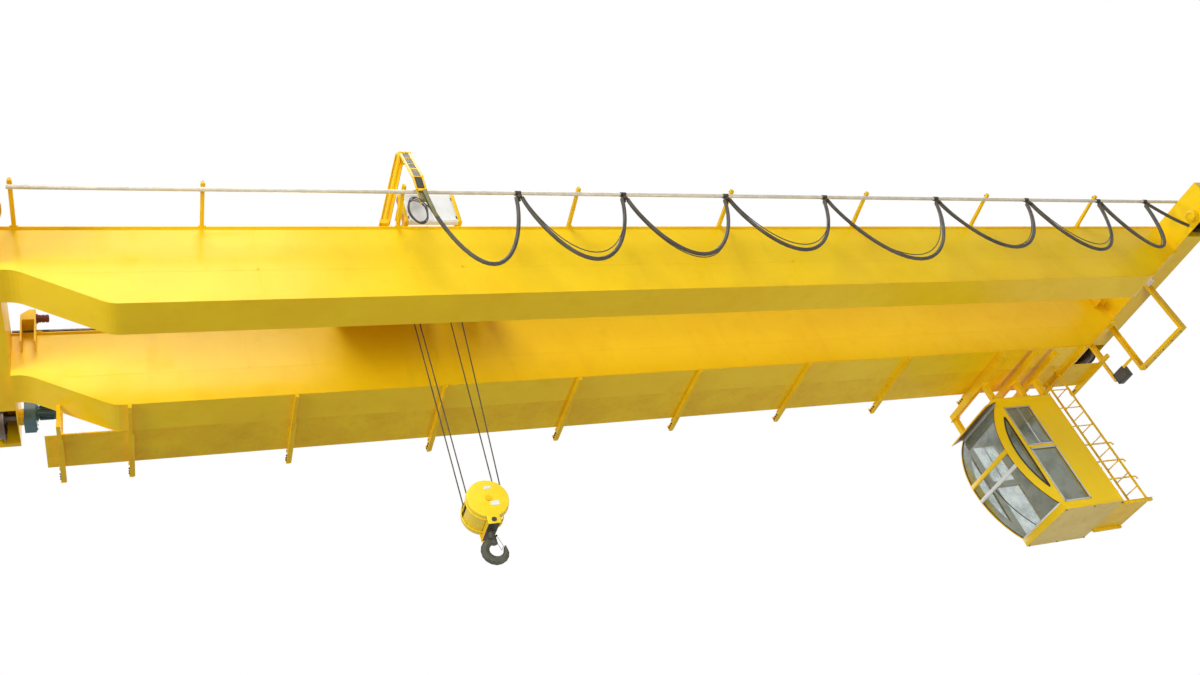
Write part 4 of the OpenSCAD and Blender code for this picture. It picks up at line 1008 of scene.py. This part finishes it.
def hoistMachinery(size):  # ribs, cowl and terminal box of the motor, the brake, and the gearbox's lids
    x, z, r = t0["motorX"], t0["motorZ"], t0["motorRadius"]
    parts = ribsRound((-0.005, -0.40, r - 0.006), (0.005, 0.12, r + 0.018), 0.002, (x, 0, z), "Y",
                      size["ribs"])
    parts += shafts(((x, -0.475, z), (x, -0.405, z), r + 0.02, 48, 0.012, 3),
                    ((x, 0.12, z), (x, 0.16, z), r + 0.018, 48, 0.006))
    parts += blocks(((x - 0.08, -0.24, z + r), (x + 0.08, -0.04, z + r + 0.09), 0.01),
                    ((x - 0.088, -0.248, z + r + 0.085), (x + 0.088, -0.032, z + r + 0.098), 0.004),
                    *[((x - r - 0.03, y - 0.03, bed), (x + r + 0.03, y + 0.03, bed + 0.02), 0.004)
                      for y in (-0.28, 0.04)])
    rod = z + 0.14
    brake = shafts(((x, 0.33, z), (x, 0.37, z), 0.13, 48, 0.003),
                   ((x, 0.30, z), (x, 0.46, z), 0.055, 28, 0.004))
    brake += blocks(((x - 0.17, 0.325, bed), (x - 0.135, 0.375, z + 0.16), 0.005),
                    ((x + 0.135, 0.325, bed), (x + 0.17, 0.375, z + 0.16), 0.005))
    brake += shafts(((x - 0.17, 0.35, rod), (x + 0.19, 0.35, rod), 0.014, 16, 0.002),
                    ((x - 0.13, 0.35, rod), (x + 0.05, 0.35, rod), 0.024, 20, 0.004))
    (y0, y1), gearZ, idleX = t0["gearY"], t0["gearZ"], drumX - 0.32
    x0, x1, lid = drumX - 0.85, drumX + 0.25, drumZ + 0.18
    box = blocks(((x0 - 0.012, y0 - 0.012, 1.235), (x1 + 0.012, y1 + 0.012, 1.262), 0.004),
                 ((x0 + 0.02, y0 + 0.02, lid), (x1 - 0.02, y1 - 0.02, lid + 0.012), 0.004))
    for gearX, wide, out in ((x, 0.09, 1), (idleX, 0.12, -1), (idleX, 0.12, 1), (drumX, 0.15, 1)):
        y, face = (y1, y1 + 0.016) if out > 0 else (y0, y0 - 0.016)
        cap = addRound((gearX, y, gearZ), (gearX, face, gearZ), wide, 40, 0.004)
        box.append(pushFaces(cap, onTop, wide * 0.4, 0.006))
        box += boltsAt(boltRing((gearX, face, gearZ), (0, out, 0), wide * 0.82, 6, 0.022))
    box += boltsAt([((a, y, 1.262), up, 0.02) for a in steps(x0, x1, 9) for y in (y0 - 0.006, y1 + 0.006)])
    box.append(addRound((x0 + 0.2, 0.7, lid + 0.012), (x0 + 0.2, 0.7, lid + 0.05), 0.022, 20, 0.004))
    box += [addBlock((a, y0 + 0.02, lid + 0.01), (a + 0.016, y1 - 0.02, lid + 0.03), 0.004)
            for a in steps(x0 + 0.35, x1 - 0.3, 3)]
    piece("hoistMotorShell", parts, "trolley", "driveGrey")
    piece("hoistBrake", brake, "trolley", "railSteel")
    piece("gearboxFittings", box, "trolley", "driveGrey")


def trolleyFrameFittings(size):  # axle caps, stiffeners, bed bolts and the drum bearing's cap
    parts, bolts, web, z = [], [], t0["webY"], t0["axleZ"]
    for x in t0["axleX"]:
        for y, out in ((-web, -1), (0.2 - web, 1), (web - 0.2, -1), (web, 1)):
            face = y + out * 0.018
            parts.append(addRound((x, y, z), (x, face, z), 0.085, 36, 0.004))
            bolts += boltRing((x, face, z), (0, out, 0), 0.062, 6, 0.026)
    parts += [addBlock((x - 0.006, out * web, 0.775), (x + 0.006, out * (web + 0.035), 1.045), 0.002)
              for x in size["ribX"] for out in (-1, 1)]
    parts += [addBlock((4.65, out * web, 0.76), (7.15, out * (web + 0.04), 0.77), 0.002) for out in (-1, 1)]
    bolts += [((x, y, bed), up, 0.026) for x in (4.7, 5.2, 5.6) for y in (-0.74, -0.4, 0, 0.4, 0.74)]
    parts.append(addRound((drumX, -0.73, drumZ), (drumX, -0.72, drumZ), 0.055, 32, 0.002))
    parts.append(addBlock((drumX - 0.1, -0.715, 1.06), (drumX + 0.1, -0.51, 1.078), 0.004))
    piece("trolleyFrameFittings", parts, "trolley", "machineYellow")
    boltPiece("trolleyBolts", bolts, "trolley")


def panelDoors(size):  # the white cabinet's two doors, its edges, handles and hinges
    (x0, x1), y, (z0, z1) = size["x"], size["y"], size["z"]
    middle, face, doors = (x0 + x1) / 2, y - 0.012, []
    for a, d in ((x0 + 0.015, middle - 0.004), (middle + 0.004, x1 - 0.015)):
        door = addBlock((a, face, z0 + 0.015), (d, y + 0.001, z1 - 0.015), 0.004)
        doors.append(pushFaces(door, lambda side: side.normal.y < -0.9 and side.area > 0.05, 0.03, -0.003))
    doors.append(addBlock((x0 + 0.03, y + 0.06, z0 + 0.03), (x1 - 0.03, y + 0.068, z1 - 0.03), 0.003))
    handles = [addBlock((x - 0.01, y - 0.03, 1.0), (x + 0.01, y - 0.011, 1.09), 0.005)
               for x in (middle - 0.05, middle + 0.05)]
    handles += [addRound((x, face, z), (x, face, z + 0.05), 0.007, 12, 0.001)
                for x in (x0 + 0.012, x1 - 0.012) for z in (0.80, 1.20)]
    posts = [plateAlong((x, y - 0.002, z0), (x, y - 0.002, z1 + 0.002), (1, 0, 0), 0.058, 0.014, 0.004)
             for x in (x0 - 0.03, x1 + 0.03)]
    piece("panelDoors", doors, "trolley", "panelWhite")
    piece("panelHandles", handles, "trolley", "gasketRubber")
    piece("panelEdgePosts", posts, "trolley", "machineYellow")


def towArmPlates(size):  # the folded legs of the tow arm, the dark infill of its ladder and the strips below
    head, foot, elbow = [Vector(size[key]) for key in ("head", "foot", "elbow")]
    across, wide, split = Vector((1, 0, 0)), size["legWide"] / 2, size["middleBar"]
    legTop, legFoot = head + Vector((-0.07, 0, -0.02)), foot + Vector((0, 0, -0.03))
    yellow = [plateAlong(legTop, legFoot, (1, 0, 0.3), wide * 2, 0.008, 0.002)]
    for side in (-1, 1):
        edge = Vector((wide * side, 0, 0.3 * wide * side))
        yellow.append(plateAlong(legTop + edge, legFoot + edge, (0, 1, 0), 0.085, 0.01, 0.003))
    slope, lowBar, stripFoot = elbow - head, elbow + Vector((0, 0, -0.27)), elbow + Vector((0, 0, -0.55))
    dark, olive = [], []
    for side in (-1, 1):
        edge = across * side * 0.068
        yellow.append(plateAlong(head + edge, elbow + edge, (0, 0.6, 0.8), 0.044, 0.014, 0.003))
        yellow.append(plateAlong(elbow + edge, lowBar + edge, (0, 1, 0), 0.044, 0.014, 0.003))
        olive.append(plateAlong(lowBar + edge, stripFoot + edge, (0, 1, 0), 0.034, 0.012, 0.003))
    for point, along in ((head, slope), (head + slope * split, slope), (lowBar, Vector((0, 0, -1)))):
        yellow.append(plateAlong(point - across * 0.075, point + across * 0.075, along, 0.05, 0.018, 0.004))
    for first, last in ((head + slope * 0.03, head + slope * (split - 0.03)),
                        (head + slope * (split + 0.03), elbow), (elbow, lowBar + Vector((0, 0, 0.03)))):
        panel = plateAlong(first, last, across, 0.118, 0.006, 0.002)
        dark.append(pushFaces(panel, lambda face: abs(face.normal.z) > 0.9, 0.012, -0.001))
        dark += [plateAlong(first + across * k, last + across * k, across, 0.008, 0.014, 0.002)
                 for k in (-0.03, 0.0, 0.03)]
    gusset = head + Vector((-0.02, -0.02, -0.06)), head + Vector((-0.06, -0.1, -0.40))
    yellow.append(plateAlong(*gusset, (1, 0, 0), 0.13, 0.01, 0.003))
    yellow.append(addRound(head - across * 0.1, head + across * 0.1, 0.022, 20, 0.004))
    yellow.append(plateAlong((5.33, -1.24, 0.80), (5.40, -1.50, 1.02), (0, 0.3, 1), 0.12, 0.01, 0.003))
    yellow.append(addRound((5.39, -1.50, 1.02), (5.402, -1.50, 1.02), 0.055, 28, 0.002))
    back = Vector((0, 0.02, 0))
    olive.append(plateAlong(lowBar + back, elbow + Vector((0, 0.02, -0.5)), across, 0.1, 0.006, 0.002))
    strip = lowBar + Vector((0.03, -0.02, -0.02)), Vector(size["stripEnd"])
    olive.append(plateAlong(*strip, across, 0.055, 0.012, 0.003))
    piece("towArmChannels", yellow, "trolley", "machineYellow")
    piece("towArmInfill", dark, "trolley", "infillDark")
    piece("towArmStrips", olive, "trolley", "oliveStrip")


def wireCoil(size):  # the spare wire that hangs in a few turns beside the strip
    (x, y, z), (wide, tall) = size["middle"], size["reach"]
    line = [size["first"]]
    for i in range(int(size["turns"] * 24) + 1):
        t = -0.5 + 2 * math.pi * i / 24
        grow = 1 + 0.07 * math.sin(1.7 * t)
        across, fall = wide * grow * math.cos(t), tall * grow * math.sin(t)
        line.append((x + across, y + 0.022 * math.sin(0.45 * t), z - fall))
    line.append(size["last"])
    coil = settle(lineThrough("spareWire", line, size["diameter"] / 2), "trolley", "cableSheath")


drumDress({"turns": 9, "pitch": 0.0195, "flange": 0.285, "ridges": 24})
hoistMachinery({"ribs": 30})
trolleyFrameFittings({"ribX": (4.85, 5.35, 5.9, 6.3, 6.95)})
panelDoors({"x": (5.5, 6.24), "y": -1.285, "z": (0.74, 1.33)})
towArmPlates({"head": (5.75, -1.25, 2.33), "foot": (5.16, -1.2, 0.8), "elbow": (5.52, -2.05, 0.84),
              "legWide": 0.15, "middleBar": 0.68, "stripEnd": (5.61, -2.07, 0.0)})
wireCoil({"middle": (5.38, -2.06, 0.13), "reach": (0.125, 0.24), "turns": 3.92, "diameter": 0.014,
          "first": (5.5, -2.06, 0.36), "last": (5.545, -2.06, 0.2)})
print("trolley fittings made")


def blockCovers(size):  # the hook block's dished covers, lower guard, tie bars, plates and axle nuts
    (x, z), r, depth = ropeRun["sheave"], size["radius"], size["depth"]
    covers = []
    for side in (-1, 1):
        deselectAll()
        bpy.ops.mesh.primitive_cylinder_add(vertices=96, radius=r, depth=depth,
                                            location=(x, side * (0.221 - depth / 2 + 0.006), z),
                                            rotation=(side * math.pi / 2, 0, 0))
        dish = bpy.context.object
        selectFaces(dish, lambda face: face.normal.z < -0.9)
        bpy.ops.mesh.region_to_loop()
        bevelPicked(0.012, 4)
        selectFaces(dish, onTop)
        bpy.ops.mesh.delete(type="FACE")
        bpy.ops.object.mode_set(mode="OBJECT")
        shell = dish.modifiers.new("wall", "SOLIDIFY")
        shell.thickness, shell.offset = size["wall"], -1
        pickOnly(dish)
        bpy.ops.object.modifier_apply(modifier=shell.name)
        covers += [dish, addRing((x, side * (0.227 - depth), z), r + 0.002, 0.009, 96, 12)]
    guardR, guard = size["guard"], []
    angles = [math.radians(angle) for angle in steps(190, 350, 23)]
    band = [(x + guardR * math.cos(a), z + guardR * math.sin(a)) for a in angles]
    for p, q in zip(band, band[1:]):
        run = q[0] - p[0], 0, q[1] - p[1]
        wide = math.hypot(*run) * 1.04
        guard.append(plateAlong((p[0], -0.148, p[1]), (p[0], 0.148, p[1]), run, wide, 0.005))
    guard += [addRound((x + u, -0.2, z + 0.06), (x + u, 0.2, z + 0.06), 0.013, 20, 0.002)
              for u in (-0.262, 0.262)]
    guard += [addBlock((x - 0.088, y - 0.004, -3.775), (x + 0.088, y + 0.004, -3.60), 0.003)
              for y in (-0.2225, 0.2225)]
    labels = blocks(((x + 0.015, -0.2305, z - 0.115), (x + 0.135, -0.2262, z - 0.05), 0.0012, 1),
                    ((x - 0.03, -0.2305, z + 0.145), (x + 0.075, -0.2262, z + 0.185), 0.0012, 1))
    cross = [addBlock((x - 0.075, -0.205, -3.763), (x + 0.075, 0.205, -3.752), 0.003)]
    cross += shafts(((x, 0, -3.772), (x, 0, -3.758), 0.062, 40, 0.004),
                    ((x, -0.2, -3.715), (x, -0.238, -3.715), 0.034, 28, 0.004),
                    ((x, 0.2, -3.715), (x, 0.238, -3.715), 0.034, 28, 0.004))
    # covers and guard take the brighter yellow, painted light from below
    piece("blockCovers", covers, "hook_block", "coverYellowPaintedLight")
    piece("blockGuard", guard, "hook_block", "coverYellowPaintedLight")
    piece("blockPlates", labels, "hook_block", "panelWhite")
    piece("blockCrosshead", cross, "hook_block", "infillDark")


def hookFittings(size):  # the nut on the shank, its lock plate, and the latch's coil springs
    x, (px, pz), coil = ropeRun["sheave"][0], size["pin"], size["coil"]
    nut = shafts(((x, 0, -3.6695), (x, 0, -3.628), 0.064, 6, 0.004),
                 ((x, 0, -3.632), (x, 0, -3.618), 0.04, 28, 0.003),
                 ((x, 0, -3.775), (x, 0, -3.772), 0.05, 32))
    springs = []
    for side in (-1, 1):
        line = [(px + coil * math.cos(t), side * (0.031 + 0.0012 * k), pz + coil * math.sin(t))
                for k, t in enumerate(arc(2 * math.pi, 10))]
        springs.append(lineThrough("spring", line, 0.0016))
    piece("hookNut", nut, "hook", "boltSteel")
    piece("latchSpring", springs, "hook", "boltSteel")


blockCovers({"radius": 0.283, "depth": 0.082, "wall": 0.005, "guard": 0.271})
hookFittings({"pin": (5.938, -3.855), "coil": 0.0095})
print("hook block dressed")

bpy.data.objects.remove(boltModel)
